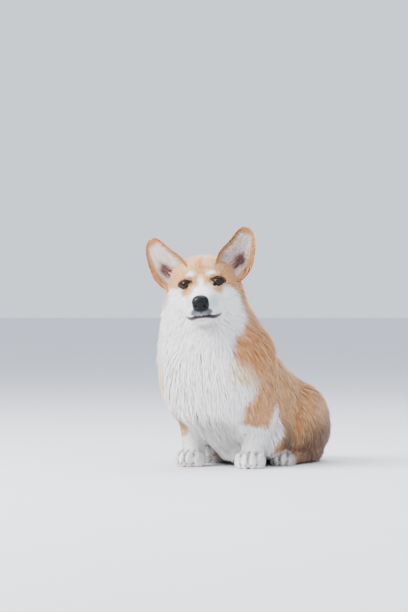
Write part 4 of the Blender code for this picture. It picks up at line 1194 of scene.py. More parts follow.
def feet(voxel):
    """The skin of each foot, pressed in along the gaps between its toes."""
    parts = []
    for sign, side in SIDES:
        for fore in (True, False):
            points, faces = fused("foot", foot_forms(sign, side, fore), voxel, 3)
            points = inset(points, faces)
            dip = FOOT_DIP * gap_nearness(points, FOOT_DIP_SPREAD)
            parts.append((points - vertex_normals(points, faces) * dip[:, None], faces))
    return parts


def guide_tree(voxel):
    """A search tree of the uncut skin, which the hair follows."""
    forms = skull_forms() + body_forms()
    for sign, side in SIDES:
        forms += foot_forms(sign, side, True) + foot_forms(sign, side, False)
    points, faces = fused("guide", forms, voxel, 4)
    return BVHTree.FromPolygons(inset(points, faces).tolist(), faces.tolist())


def build_skin():
    """One skin for all the flesh, with its marks, and the data that the coat grows from."""
    sizes = bpy.context.scene.corgi_body
    MADE["coat_rows"] = coat_rows()
    MADE["coat_tone"] = coat_tone_group()
    fine, coarse = sizes.head_voxel, sizes.body_voxel
    parts = head_and_body(fine, coarse) + feet(sizes.foot_voxel)
    marks = [markings(one[0]) for one in parts]
    infos = [np.full((len(one[0]), 3), -1.0) for one in parts]
    for side, _ in SIDES:
        points, faces, info = ear_form(side)
        parts.append((points, faces))
        marks.append(ear_markings(info))
        infos.append(info)
    points, faces = merged(parts)
    points[:, 2] = np.maximum(points[:, 2], ABOVE_FLOOR)
    MADE["points"], MADE["faces"] = points, faces
    MADE["normals"] = vertex_normals(points, faces)
    MADE["mark"], MADE["info"] = np.concatenate(marks), np.concatenate(infos)
    skin = add_piece("skin", points, faces, "white_coat", skin_material(), FLESH)
    colour_attribute(skin.data, "mark", MADE["mark"])
    body_only = faces[(MADE["info"][faces, 0] < -0.5).all(1)]
    MADE["tree"] = BVHTree.FromPolygons(points.tolist(), body_only.tolist())
    MADE["guide"] = guide_tree(sizes.body_voxel)


MAP_TRIANGLES = 9000


def unwrapped():
    """Unwraps a coarse copy of the skin by its own shape, for the coat's patches.

    Returns a tree of its triangles, their corners and the corners' places on the map.
    """
    points, faces = evaluated("unwrap", MADE["points"], MADE["faces"], (
        ("DECIMATE", {"ratio": MAP_TRIANGLES / len(MADE["faces"])}),))
    thing = bpy.data.objects.new("unwrap", mesh_from("unwrap", points, faces))
    bpy.context.scene.collection.objects.link(thing)
    thing.data.uv_layers.new(name="map")
    bpy.context.view_layer.objects.active = thing
    thing.select_set(True)
    bpy.ops.object.mode_set(mode="EDIT")
    bpy.ops.mesh.select_all(action="SELECT")
    bpy.ops.uv.smart_project(angle_limit=math.radians(66), island_margin=0.004)
    bpy.ops.object.mode_set(mode="OBJECT")
    mesh = thing.data
    spots = np.empty(len(mesh.loops) * 2, np.float32)
    mesh.uv_layers["map"].data.foreach_get("uv", spots)
    corners = np.empty(len(mesh.loops), np.int32)
    mesh.loops.foreach_get("vertex_index", corners)
    points, _ = arrays_of(mesh)
    faces, spots = corners.reshape(-1, 3), spots.reshape(-1, 3, 2)
    bpy.data.objects.remove(thing)
    return BVHTree.FromPolygons(points.tolist(), faces.tolist()), points[faces], spots


def map_places(roots):
    """Where each root lies on the unwrap, by its share of each corner of a triangle."""
    tree, corners, spots = unwrapped()
    index = np.array([tree.find_nearest(root)[2] for root in roots.tolist()])
    a, b, c = corners[index, 0], corners[index, 1], corners[index, 2]
    v0, v1, v2 = b - a, c - a, roots - a
    d00, d01, d11 = ((one * two).sum(1) for one, two in ((v0, v0), (v0, v1), (v1, v1)))
    d20, d21 = (v2 * v0).sum(1), (v2 * v1).sum(1)
    scale = np.maximum(d00 * d11 - d01 * d01, 1e-18)
    s = np.clip((d11 * d20 - d01 * d21) / scale, 0, 1)[:, None]
    t = np.clip((d00 * d21 - d01 * d20) / scale, 0, 1)[:, None]
    first, second, third = (spots[index][:, i] for i in range(3))
    return first + (second - first) * s + (third - first) * t


# Coats give their closeness in thousands of tufts a square metre.
CLOSENESS_UNIT = 1000.0
EAR_BACK_CLOSENESS = 300000.0
EAR_FRONT_CLOSENESS = 150000.0


def scattered(rng, share):
    """Roots on the skin: as many on each triangle as its area and closeness ask."""
    points, faces, info = MADE["points"], MADE["faces"], MADE["info"]
    a, b, c = (points[faces[:, i]] for i in range(3))
    area = np.linalg.norm(np.cross(b - a, c - a), axis=1) / 2
    middle = (a + b + c) / 3
    close = coat_at(middle)[4] * CLOSENESS_UNIT
    ear = info[faces, 0].min(1) > -0.5
    close[ear] = EAR_BACK_CLOSENESS
    close[ear & (info[faces, 2].min(1) > 0.5)] = EAR_FRONT_CLOSENESS
    wanted = area * close * share
    total = int(wanted.sum())
    edges = np.cumsum(wanted) / wanted.sum()
    face = np.searchsorted(edges, (np.arange(total) + rng.random(total)) / total)
    face = np.clip(face, 0, len(faces) - 1)
    rng.shuffle(face)
    s, t = np.sqrt(rng.random(total)), rng.random(total)
    weight = np.stack([1 - s, s * (1 - t), s * t], -1)[..., None]
    corner = faces[face]
    roots = (points[corner] * weight).sum(1)
    normals = unit((MADE["normals"][corner] * weight).sum(1))
    marks = (MADE["mark"][corner] * weight).sum(1)
    where = (info[corner] * weight).sum(1)
    where[~ear[face]] = -1.0
    return roots, normals, marks, where


BARE_NOSE = 1.06
BARE_EYE_WIDTH = 1.16
BARE_EYE = 1.36
BARE_EYE_DEPTH = 0.02
BARE_LIP = 0.0030
BARE_SOLE = 0.0012
BURIED_REACH = 0.12
BURIED_START = 0.0008


def bare(roots):
    """True where nothing grows: eyes, nose, lips and the soles."""
    gone = off_nose(roots) < BARE_NOSE
    for side in (1, -1):
        local = to_eye(roots, side)
        inside = almond(local[:, 0] / BARE_EYE_WIDTH, local[:, 2]) < BARE_EYE
        gone |= inside & (np.abs(local[:, 1]) < BARE_EYE_DEPTH)
    away = off_line(to_head(roots), mouth_line(), np.array(MOUTH_MIDDLE))
    return gone | (away < BARE_LIP) | (roots[:, 2] < BARE_SOLE)


def buried(roots, normals):
    """True where the way out of the skin ends inside another part of it."""
    tree = MADE["tree"]
    hidden = np.zeros(len(roots), bool)
    starts = (roots + normals * BURIED_START).tolist()
    for i, (start, way) in enumerate(zip(starts, normals.tolist())):
        _, face_up, _, _ = tree.ray_cast(start, way, BURIED_REACH)
        hidden[i] = face_up is not None and face_up.dot(Vector(way)) > 0.05
    return hidden


def ear_ways():
    """The way from an ear's root to its tip, for each side, in the dog's frame."""
    turn = turned(EAR_LEAN, "Y") @ turned(EAR_BACK_LEAN, "X")
    up = turn @ UP
    across = turn @ turned(-EAR_FACING, "Z") @ np.array((1.0, 0.0, 0.0))
    return {side: (head_axes() @ (up * (side, 1, 1)), head_axes() @ (across * (side, 1, 1)))
            for side in (1, -1)}


def guides(seeds, normals, way, length, depth, steps, on_ear):
    """Paths of the clumps: each step follows the skin, and part of it runs straight on.

    A point of a path is the nearest place on the skin after the step, raised by depth
    times sin(pi/2 share)^0.8, and mixed with the point straight ahead.
    """
    tree = MADE["guide"]
    off = seeds - np.array([tree.find_nearest(p)[0] for p in seeds.tolist()])
    off *= np.linalg.norm(off, axis=1, keepdims=True) < 0.006
    paths = np.empty((len(seeds), steps + 1, 3))
    ups = np.empty_like(paths)
    paths[:, 0], ups[:, 0] = seeds, normals
    at, up = seeds.copy(), normals.copy()
    way = unit(way - up * (way * up).sum(1, keepdims=True))
    for k in range(1, steps + 1):
        share = math.sin(math.pi / 2 * k / steps) ** 0.8
        ahead = at + way * (length / steps)[:, None]
        hits = [tree.find_nearest(p) for p in ahead.tolist()]
        on = np.array([h[0] for h in hits])
        face_up = np.array([h[1] for h in hits])
        on[on_ear], face_up[on_ear] = ahead[on_ear], up[on_ear]
        up = unit(0.5 * up + 0.5 * face_up)
        raised = on + np.where(on_ear[:, None], 0.0, off)
        follow = raised + up * (depth * share)[:, None]
        straight = paths[:, k - 1] + way * (length / steps)[:, None]
        above = ((straight - on) * up).sum(1)
        mix = np.where(above > depth * share, 0.45, 0.0)[:, None]
        paths[:, k] = follow + (straight - follow) * mix
        ups[:, k] = up
        field = coat_at(on)[0]
        field[on_ear] = way[on_ear]
        way = way + 0.35 * field
        way = unit(way - up * (way * up).sum(1, keepdims=True))
        at = on
    return paths, ups


# The least upward part of a tuft's shading normal.
LEAST_UP = -0.20


def tufts(paths, ups, width, thickness, shape, soft):
    """Points and faces of thin tapered tufts of triangular section along paths.

    The rings are (-side, +side, up) with half widths width x shape; the last ring is one
    point, the tip. The root is closed.
    """
    count, levels = paths.shape[:2]
    along = unit(np.gradient(paths, axis=1))
    side = unit(np.cross(along, ups))
    up = np.cross(side, along)
    half = width[:, None, None] * np.array(shape)[None, :, None] / 2
    high = half * thickness
    rings = np.stack([paths - side * half, paths + side * half, paths + up * high * 2], 2)
    body = rings[:, :-1].reshape(count, -1, 3)
    points = np.concatenate([body, paths[:, -1:]], 1)
    faces = [(0, 1, 2)]
    for k in range(levels - 1):
        for i, j in ((0, 1), (1, 2), (2, 0)):
            p, q = 3 * k + i, 3 * k + j
            if k < levels - 2:
                faces += [(p, p + 3, q + 3), (p, q + 3, q)]
            else:
                faces.append((p, 3 * (levels - 1), q))
    faces = np.array(faces)
    per = points.shape[1]
    shift = (np.arange(count) * per)[:, None, None]
    skin_up = np.concatenate([np.repeat(ups[:, :-1], 3, axis=1), ups[:, -1:]], 1)
    out = np.concatenate([(rings[:, :-1] - (paths + up * high * 0.7)[:, :-1, None]).reshape(
        count, -1, 3), along[:, -1:]], 1)
    normals = unit(soft[:, None, None] * skin_up + (1 - soft)[:, None, None] * unit(out))
    normals[..., 2] = np.maximum(normals[..., 2], LEAST_UP)
    return points, faces[None] + shift, unit(normals)


def steadied(roots, normals, where):
    """Normals of roots, near the neck plane those of the uncut surface."""
    height = (roots - np.array(NECK_PLANE[0])) @ neck_normal()
    near = (np.abs(height) < NECK_NEARNESS) & (where[:, 0] < -0.5)
    found = [MADE["guide"].find_nearest(place)[1] for place in roots[near].tolist()]
    normals[near] = np.array(found)
    return normals


def coat_sides():
    """The least and greatest X that the coat keeps to, beside the solids' box."""
    low, high = (corner[0] - BOX_SHIFT[0] for corner in CAD_BOX)
    return low - COAT_BEYOND_BOX, high + COAT_BEYOND_BOX


# Kinds of tuft: steps, widths along it, thickness, depth of the root, tufts of a clump.
LONG_TUFT = (3, (1.10, 1.0, 0.62, 0.0), 0.18, 0.0008, 5)
SHORT_TUFT = (2, (0.90, 0.90, 0.0), 0.30, 0.0004, 4)
LONG_FROM = 0.0125

# Hair of the ears: length, depth and width; on the tips a length only.
EAR_BACK_HAIR = (0.0045, 0.0009, 0.0010)
EAR_FRONT_HAIR = (0.0065, 0.0014, 0.0010)
EAR_FRINGE_HAIR = (0.0150, 0.0045, 0.0010)
EAR_TIP_LENGTH = 0.0022
DRIFT = 0.32
LIP_HAIR_REACH = 0.009
CLUMP_REACH = 0.02
LOWEST_HAIR = 0.0005


def combed(roots, where):
    """Way, length, depth and width of the hair at its roots, body and ears together."""
    way, length, depth, width, _ = coat_at(roots)
    drift = [lattice_noise(roots, 0.030, seed) + 0.7 * lattice_noise(roots, 0.011, seed + 4)
             for seed in (21, 22, 23)]
    way = unit(way + DRIFT * np.stack(drift, -1))
    to_lips = np.linalg.norm(to_head(roots)[:, None] - mouth_line(3)[None], axis=2).min(1)
    length *= np.clip(to_lips / LIP_HAIR_REACH, 0.35, 1.0)
    on_ear = where[:, 0] > -0.5
    inside = on_ear & (where[:, 2] > 0.5)
    side_of = np.where(to_head(roots)[:, 0] > 0, 1, -1)
    for side, (up, across) in ear_ways().items():
        this = on_ear & (side_of == side)
        way[this] = up - across * (0.5 * (where[this, :1] - 0.5))
        deep = this & inside
        way[deep] = up + across * (0.9 * (0.30 - where[deep, :1]) + 0.55)
    fringe = inside & ((where[:, 0] < 0.25) | (where[:, 1] < 0.36))
    for chosen, hair in ((on_ear, EAR_BACK_HAIR), (inside, EAR_FRONT_HAIR),
                         (fringe, EAR_FRINGE_HAIR)):
        length[chosen], depth[chosen], width[chosen] = hair
    length[on_ear & (where[:, 1] > 0.90)] = EAR_TIP_LENGTH
    return {"way": way, "length": length, "depth": depth, "width": width}


def nearest_of(seeds, places):
    """For each place the number of the nearest seed."""
    tree = KDTree(len(seeds))
    for i, place in enumerate(seeds.tolist()):
        tree.insert(place, i)
    tree.balance()
    return np.array([tree.find(place)[1] for place in places.tolist()])


def clumped(rng, hair, kind):
    """Tufts of one kind, in clumps round the first roots.

    A tuft takes its clump's path, drawn towards it by clump x share^1.3, with its own
    length, height and splay and with a wave shared by its clump.
    """
    steps, shape, thin, sunk, together = kind
    roots, normals, length = hair["roots"], hair["normals"], hair["length"]
    count = len(roots)
    clumps = max(count // together, 1)
    on_ear = hair["where"][:, 0] > -0.5
    of = nearest_of(roots[:clumps], roots)
    paths, ups = guides(roots[:clumps], normals[:clumps], hair["way"][:clumps],
                        length[:clumps], hair["depth"][:clumps], steps, on_ear[:clumps])
    t = np.linspace(0, 1, steps + 1)[None, :, None]
    own = rng.uniform(0.72, 1.12, (count, 1, 1))
    moved = (paths[of] - paths[of][:, :1]) * own
    apart = (roots - roots[of])[:, None]
    apart = apart * (np.linalg.norm(apart, axis=2, keepdims=True) < CLUMP_REACH)
    clump = rng.uniform(0.05, 0.55, (count, 1, 1))
    splay = rng.normal(0, 1, (count, 1, 3)) * (0.062 * length)[:, None, None]
    phase = rng.uniform(0, 2 * math.pi, (clumps, 1, 1))[of]
    wave = (np.sin(2.4 * t + phase) - np.sin(phase)) * (0.05 * length)[:, None, None]
    sideways = unit(np.cross(paths[of][:, -1] - paths[of][:, 0], normals))
    splay = splay + wave / np.maximum(t, 0.05) ** 1.5 * sideways[:, None]
    lift = rng.uniform(-0.24, 0.06, (count, 1, 1)) * hair["depth"][:, None, None]
    path = (roots[:, None] + moved - apart * clump * t**1.3 + splay * t**1.5
            + ups[of] * lift * t)
    path[:, 0] -= normals * sunk
    path[..., 2] = np.maximum(path[..., 2], LOWEST_HAIR)
    path[..., 0] = np.clip(path[..., 0], *coat_sides())
    breadth = hair["width"] * rng.uniform(0.75, 1.25, count)
    tone = hair["marks"].copy()
    sixty = roots + (path[:, -1] - roots) * 0.6
    tone[~on_ear] = markings(sixty[~on_ear])
    tone = streaked(tone, rng, of, clumps)
    soft = np.where(on_ear, 0.40, 0.91 - 0.26 * warmth(tone))
    points, faces, shading = tufts(path, ups[of], breadth, thin, shape, soft)
    return {"roots": roots, "points": points, "faces": faces, "normals": shading,
            "mark": tone, "steps": steps, "ear": on_ear, "chance": rng.random(count)}


def grown(rng, share):
    """All tufts of the coat: the long ones, then the short ones."""
    roots, normals, marks, where = scattered(rng, share)
    normals = steadied(roots, normals, where)
    keep = ~(bare(roots) | buried(roots, normals))
    hair = {"roots": roots[keep], "normals": normals[keep], "marks": marks[keep],
            "where": where[keep]}
    hair.update(combed(hair["roots"], hair["where"]))
    long = hair["length"] > LONG_FROM
    return [clumped(rng, {name: values[chosen] for name, values in hair.items()}, kind)
            for chosen, kind in ((long, LONG_TUFT), (~long, SHORT_TUFT))]


def warmth(tone):
    """How tan a colour is, from 0 for white and black to 1."""
    return np.clip((tone[:, 0] - tone[:, 2]) / 0.35, 0, 1)


# Spread of a clump's tone in white hair, and more of it in tan; single tufts of another
# tone: their share of the tufts and how far they go to that tone.
WHITE_SPREAD = 0.035
TAN_SPREAD = 0.11
PALE_HAIR = (0.16, 0.40)
DARK_HAIR = (0.14, 0.45)


def streaked(tone, rng, of, clumps):
    """Tones of tufts, varied by clump and, in tan hair only, by single pale or dark tufts."""
    colours = palette()
    warm = warmth(tone)[:, None]
    clump = rng.uniform(-1, 1, (clumps, 1))[of]
    tone = tone * (1 + clump * (WHITE_SPREAD + TAN_SPREAD * warm))
    (often_pale, pale), (often_dark, dark) = PALE_HAIR, DARK_HAIR
    pale = (rng.random((len(tone), 1)) < often_pale) * warm * pale
    dark = (rng.random((len(tone), 1)) < often_dark) * warm * dark
    tone = tone + (colours["cream"] - tone) * pale
    return tone + (colours["rust"] * 0.8 - tone) * dark


def region_names(roots, ear):
    """The piece of coat that each root belongs to."""
    head = to_head(roots)
    x, y, z = roots.T
    names = np.full(len(roots), "coat_back", dtype="<U20")
    names[(y > 0.10) & (z < 0.15) & (np.abs(x) > 0.04)] = "coat_haunches"
    names[y > 0.235] = "coat_rump"
    names[(y <= 0.10) & (z < 0.30)] = "coat_shoulders"
    names[(y < 0.02) & (z < 0.30) & (z >= 0.10)] = "coat_chest"
    names[(y <= 0.10) & (z < 0.12) & (np.abs(x) > 0.035)] = "coat_forelegs"
    names[(z < 0.032) & (y < 0.20)] = "coat_feet"
    names[(y <= 0.10) & (z < 0.30) & (z >= 0.225)] = "coat_ruff"
    in_head = (head[:, 2] > -0.085) & (head[:, 1] > -0.12) & (z > 0.25)
    names[in_head & (head[:, 1] < -0.02)] = "coat_cheeks"
    names[in_head & (head[:, 1] >= -0.02)] = "coat_face"
    names[ear] = "coat_ears"
    return names


MAX_TRIANGLES = 180000
WHITE_PIECES = ("coat_chest", "coat_feet", "coat_forelegs", "coat_ruff", "coat_face")

# The size of a tuft's own patch of the map, as a share of the map.
PATCH = 0.003


def shared_out(members):
    """Groups of tufts cut into lists that stay within the limit of triangles."""
    pieces, room = [[]], MAX_TRIANGLES
    for group, index in members:
        per = group["faces"].shape[1]
        while len(index):
            fit = room // per
            if fit <= 0:
                pieces.append([])
                room = MAX_TRIANGLES
                continue
            pieces[-1].append((group, index[:fit]))
            room -= min(fit, len(index)) * per
            index = index[fit:]
    return pieces


def build_coat():
    """The whole coat as joined pieces, each within the limit of triangles."""
    settings = bpy.context.scene.corgi_coat
    rng = np.random.default_rng(settings.seed)
    groups = grown(rng, settings.fullness * (1.0))
    finish = coat_material()
    regions = {}
    for group in groups:
        group["map"] = map_places(group["roots"])
        names = region_names(group["roots"], group["ear"])
        for name in sorted(set(names.tolist())):
            regions.setdefault(name, []).append((group, np.flatnonzero(names == name)))
    for name, members in sorted(regions.items()):
        pieces = shared_out(members)
        for i, piece in enumerate(pieces):
            if piece:
                add_coat(name if len(pieces) == 1 else f"{name}_{i + 1}", piece, finish)


def add_coat(name, members, finish):
    """One piece of coat: tufts of several groups with marks, grain, map and normals."""
    points, faces, marks, grains, normals, maps, count = [], [], [], [], [], [], 0
    for group, index in members:
        per = group["points"].shape[1]
        local = group["faces"][0] - group["faces"][0].min()
        points.append(group["points"][index].reshape(-1, 3))
        faces.append((local[None] + (np.arange(len(index)) * per)[:, None, None]
                      ).reshape(-1, 3) + count)
        normals.append(group["normals"][index].reshape(-1, 3))
        marks.append(np.repeat(group["mark"][index], per, axis=0))
        steps = group["steps"]
        along = np.append(np.repeat(np.arange(steps) / steps, 3), 1.0)
        across = np.append(np.tile((0.0, 1.0, 0.5), steps), 0.5)
        grain = np.zeros((len(index), per, 3))
        grain[..., 0] = along
        grain[..., 1] = group["chance"][index][:, None]
        grains.append(grain.reshape(-1, 3))
        spot = np.stack([across - 0.5, along - 0.5], -1) * PATCH
        maps.append((group["map"][index][:, None] + spot[None]).reshape(-1, 2))
        count += len(index) * per
    points, faces = np.concatenate(points), np.concatenate(faces)
    thing = add_piece(name, points, faces, "white_coat" if name in WHITE_PIECES
                      else "tan_coat", finish)
    mesh = thing.data
    colour_attribute(mesh, "mark", np.concatenate(marks))
    colour_attribute(mesh, "grain", np.concatenate(grains))
    layer = mesh.uv_layers.new(name="OFBake")
    layer.data.foreach_set("uv", np.concatenate(maps)[faces.ravel()].astype(np.float32).ravel())
    mesh.normals_split_custom_set_from_vertices(np.concatenate(normals).astype(np.float32))
    return thing


EYE_SINK = 0.0002
CORNEA = 0.0007
CORNEA_EDGE = (0.35, 0.75)


def build_eyes():
    """Both eyeballs: a sphere with a bulging cornea over the iris."""
    radius = EYE_RADIUS - EYE_SINK
    b = np.linspace(0, math.pi, 50)[1:-1, None]
    a = np.linspace(0, 2 * math.pi, 64, endpoint=False)[None, :]
    bulge = CORNEA * (1 - eased(b, *CORNEA_EDGE))
    reach = radius + bulge
    rings = np.stack([reach * np.sin(b) * np.cos(a), reach * np.cos(b) * np.ones_like(a),
                      reach * np.sin(b) * np.sin(a)], -1)
    finish = eye_material()
    for side, word in SIDES:
        points, faces = shell(rings)
        points = from_eye(points, side)
        thing = add_piece(f"eyeball_{word}", points, outward(points, faces), "eye", finish,
                          [f"eye_{word}"])
        off = np.append(np.repeat(b.ravel(), a.size), (b[0, 0], b[-1, 0]))
        turn = np.append(np.tile(a.ravel(), b.size), (0.0, 0.0))
        colour_attribute(thing.data, "iris", np.stack(
            [off, 0.5 + 0.5 * np.cos(turn), 0.5 + 0.5 * np.sin(turn)], -1))


PUPIL_TONE = (0.002, 0.002, 0.002)
IRIS_EDGE_TONE = (0.006, 0.004, 0.003)
EYE_WHITE_TONE = (0.03, 0.022, 0.018)


def dimmed(tone, share):
    """A colour times a number."""
    return tuple(share * value for value in tone)


def eye_material():
    """Pupil, brown iris with fine spokes, dark edge and dark white, wet all over."""
    made, nodes, links = material("eye", {
        "Roughness": 0.35, "Specular IOR Level": 0.0, "Coat Weight": 0.45,
        "Coat Roughness": 0.03})
    iris = node(nodes, "ShaderNodeAttribute", -900, 0, attribute_name="iris")
    parts = node(nodes, "ShaderNodeSeparateXYZ", -700, 0)
    links.new(iris.outputs["Vector"], parts.inputs[0])
    spokes = node(nodes, "ShaderNodeTexNoise", -700, -200)
    spokes.inputs["Scale"].default_value = 14.0
    links.new(iris.outputs["Vector"], spokes.inputs["Vector"])
    wobble = worked(nodes, links, (-500, -100), "MULTIPLY_ADD", spokes.outputs["Fac"], 0.10,
                    parts.outputs["X"])
    ramp = node(nodes, "ShaderNodeValToRGB", -300, 0)
    tone = bpy.context.scene.corgi_face.iris
    stops = ((0.0, PUPIL_TONE), (0.235, PUPIL_TONE), (0.27, dimmed(tone, 0.45)),
             (0.42, dimmed(tone, 1.0)), (0.56, dimmed(tone, 0.35)), (0.63, IRIS_EDGE_TONE),
             (0.80, EYE_WHITE_TONE))
    for i, (where, colour) in enumerate(stops):
        stop = ramp.color_ramp.elements[i] if i < 2 else ramp.color_ramp.elements.new(where)
        stop.position, stop.color = where, (*colour, 1.0)
    links.new(wobble, ramp.inputs["Fac"])
    links.new(ramp.outputs["Color"], nodes["Principled BSDF"].inputs["Base Color"])
    return made


def leather_material():
    """Nose leather: pebbled, moist, a little paler on the raised grains."""
    made, nodes, links = material("nose", {
        "Roughness": 0.34, "Specular IOR Level": 0.12, "Coat Weight": 0.10,
        "Coat Roughness": 0.20})
    tone = bpy.context.scene.corgi_face.nose
    place = node(nodes, "ShaderNodeTexCoord", -900, 0)
    cells = node(nodes, "ShaderNodeTexVoronoi", -700, 0, feature="SMOOTH_F1")
    cells.inputs["Scale"].default_value = 950.0
    links.new(place.outputs["Object"], cells.inputs["Vector"])
    two_toned(nodes, links, cells.outputs["Distance"], dimmed(tone, 1.5), dimmed(tone, 0.5))
    bumped(nodes, links, cells.outputs["Distance"], 0.8, 0.0004, invert=True)
    return made


# Rows of a lid: its size against the opening, and its height over the eyeball.
LID_ROWS = ((0.90, -0.0012), (0.94, 0.0004), (1.00, 0.0012), (1.10, 0.0015), (1.24, 0.0008),
            (1.38, -0.0008), (1.56, -0.0030), (1.76, -0.0070))
LID_FALL = 0.0064
LID_BACK_ROWS = (1.7, 1.0)
LID_BACK = 0.006
LID_WIDENING = 1.08
LID_TONE = (0.010, 0.008, 0.008)
LAST_DARK_ROW = 5


def build_lids():
    """A ring of lid round each eye: a wet dark margin that rolls out into the coat.

    Ring v of the lid is the almond of the opening times a scale, at a height that rises
    from the eyeball to the lid's edge and falls back under the skin.
    """
    u = np.linspace(0, 2 * math.pi, 72, endpoint=False)
    c, s = np.cos(u), np.sin(u)
    half, rise = EYE_OPENING
    x = LID_WIDENING * half * np.sign(c) * np.abs(c) ** 0.95
    z = np.where(s > 0, rise, LOWER_LID * rise) * np.sign(s) * np.abs(s) ** 1.10
    base = np.sqrt(np.maximum(EYE_RADIUS**2 - (0.98 * x) ** 2 - z**2, 1e-8))
    rings = [np.stack([x * k, base + lift - LID_FALL * max(0, k - 1), z * k], -1)
             for k, lift in LID_ROWS]
    back = [np.stack([x * k, base - LID_BACK, z * k], -1) for k in LID_BACK_ROWS]
    rings = np.array(rings + back)
    faces = wound(len(rings), len(u), True)
    forms, marks = [], []
    share = np.repeat(np.arange(len(rings)), len(u))
    for side, _ in SIDES:
        points = from_eye(rings.reshape(-1, 3) * (side, 1, 1), side)
        forms.append((points, outward(points, faces)))
        dark = (share <= LAST_DARK_ROW) | (share >= len(LID_ROWS))
        marks.append(np.where(dark[:, None], np.array(LID_TONE), markings(points)))
    lids = add_piece("eyelids", *merged(forms), "nose_skin", lid_material())
    colour_attribute(lids.data, "mark", np.concatenate(marks))


def lid_material():
    """Moist dark skin, in the colour of its mark."""
    made, nodes, links = material("lid", {"Roughness": 0.42, "Specular IOR Level": 0.18})
    links.new(marked(nodes), nodes["Principled BSDF"].inputs["Base Color"])
    bumped(nodes, links, grain_of(nodes, 1800.0), 0.3, 0.0002)
    return made


# Each nostril: a round opening, then a slit behind it: place, turn, half sizes, depth.
NOSTRIL = (((0.0080, 0.0105, -0.0020), 28.0, (0.0034, 0.0025), 0.0046),
           ((0.0125, 0.0070, -0.0050), 0.0, (0.0036, 0.0013), 0.0022))
NOSE_FRONT = (0.0, 0.004)
NOSE_GROOVE = (0.0009, 0.0011)
NOSE_LOW = (-0.006, 0.004)
NOSE_DROOP = -8.0


def build_nose():
    """Nose leather: a superellipsoid with comma nostrils and a groove down the middle.

    Its rings are ovals of half size cos(t)^0.78. In front, each opening is pressed in by
    its depth x exp(-d^2) over its half sizes, and the groove by its depth x exp(-(x/w)^2).
    """
    wide, long, tall = NOSE_HALF
    t = np.radians(np.linspace(-84, 84, 56))
    size = np.cos(t) ** 0.78
    x, z = oval(96, wide * size, tall * size, tall * 0.92 * size, np.full(len(t), 2.3))
    y = np.broadcast_to((long * np.sin(t))[:, None], x.shape)
    x = x * (1 + 0.16 * z / tall)
    rings = np.stack([x, y, z], -1)
    for side in (1, -1):
        press = 0.0
        for middle, turn, (across, up), depth in NOSTRIL:
            local = (rings - mirrored(middle, side)) @ turned(side * turn, "Y")
            away = (local[..., 0] / across) ** 2 + (local[..., 2] / up) ** 2
            press = press + depth * np.exp(-away)
        rings[..., 1] -= press * eased(rings[..., 1], *NOSE_FRONT)
    width, depth = NOSE_GROOVE
    low = eased(-rings[..., 2], *NOSE_LOW) * eased(rings[..., 1], *NOSE_FRONT)
    rings[..., 1] -= depth * np.exp(-(rings[..., 0] / width) ** 2) * low
    points, faces = shell(rings)
    points = from_head(points @ turned(NOSE_DROOP, "X").T + np.array(NOSE_AT))
    add_piece("nose_leather", points, outward(points, faces), "nose_skin",
              leather_material(), ["nose"])


def tube(path, radius, count=10):
    """A closed round tube along a path, radius at each of its points."""
    along = unit(np.gradient(path, axis=0))
    side = unit(np.cross(along, UP))
    up = np.cross(side, along)
    a = np.linspace(0, 2 * math.pi, count, endpoint=False)[:, None]
    ring = side[:, None] * np.cos(a) + up[:, None] * np.sin(a)
    return shell(path[:, None] + ring * radius[:, None, None])


# The groove under the nose, from its top to its end, in the head's frame.
PHILTRUM = ((0.0, 0.0800, -0.0515), (0.0, 0.0712, -0.0630))
PHILTRUM_BOW = (0.0, 0.0010, 0.0)
PHILTRUM_RADIUS = 0.0008
# The upper lip's dark tube is thick enough to stand both for the dark lip and for painted
# shadow along the mouth line.
UPPER_LIP = (0.0001, 0.0011, 0.0025, (0.012, 0.011, 0.013))
LOWER_LIP = (0.0008, -0.0016, 0.0016, (0.10, 0.070, 0.070))
PHILTRUM_TONE = (0.02, 0.019, 0.022)


def build_lips():
    """Dark upper lip, paler lower lip and the groove from the nose to the mouth."""
    line = mouth_line(12)
    share = np.linspace(-1, 1, len(line))
    out = unit(line * (1, 1, 0) - np.array((0, 0.02, 0)))
    taper = np.clip(1.05 - np.abs(share) ** 4, 0.15, 1)
    ahead = 0.0020 * np.exp(-(line[:, :1] / 0.018) ** 2)
    forms, tones = [], []
    for back, up, radius, tone in (UPPER_LIP, LOWER_LIP):
        path = line + out * (ahead - back) + UP * up
        forms.append(tube(from_head(path), radius * taper))
        tones.append(tone)
    drop = np.linspace(0, 1, 16)[:, None]
    start, end = (np.array(place) for place in PHILTRUM)
    path = start + (end - start) * drop + np.array(PHILTRUM_BOW) * np.sin(math.pi * drop)
    forms.append(tube(from_head(path), np.full(len(drop), PHILTRUM_RADIUS)))
    tones.append(PHILTRUM_TONE)
    marks = [np.broadcast_to(tone, (len(form[0]), 3)) for tone, form in zip(tones, forms)]
    lips = add_piece("lips", *merged(forms), "nose_skin", lid_material())
    colour_attribute(lips.data, "mark", np.concatenate(marks))


CLAW_ROOT = (0.0, -0.240, -0.14)
CLAW_WAY = (0.0, -1.0, -0.35)
CLAW_START = -0.0060
CLAW_LENGTH = 0.0110
CLAW_DROP = -0.0022
CLAW_RADIUS = 0.0023
CLAW_THINNESS = 0.75
CLAW_TONES = ((0.12, 0.085, 0.065), (0.34, 0.26, 0.20))


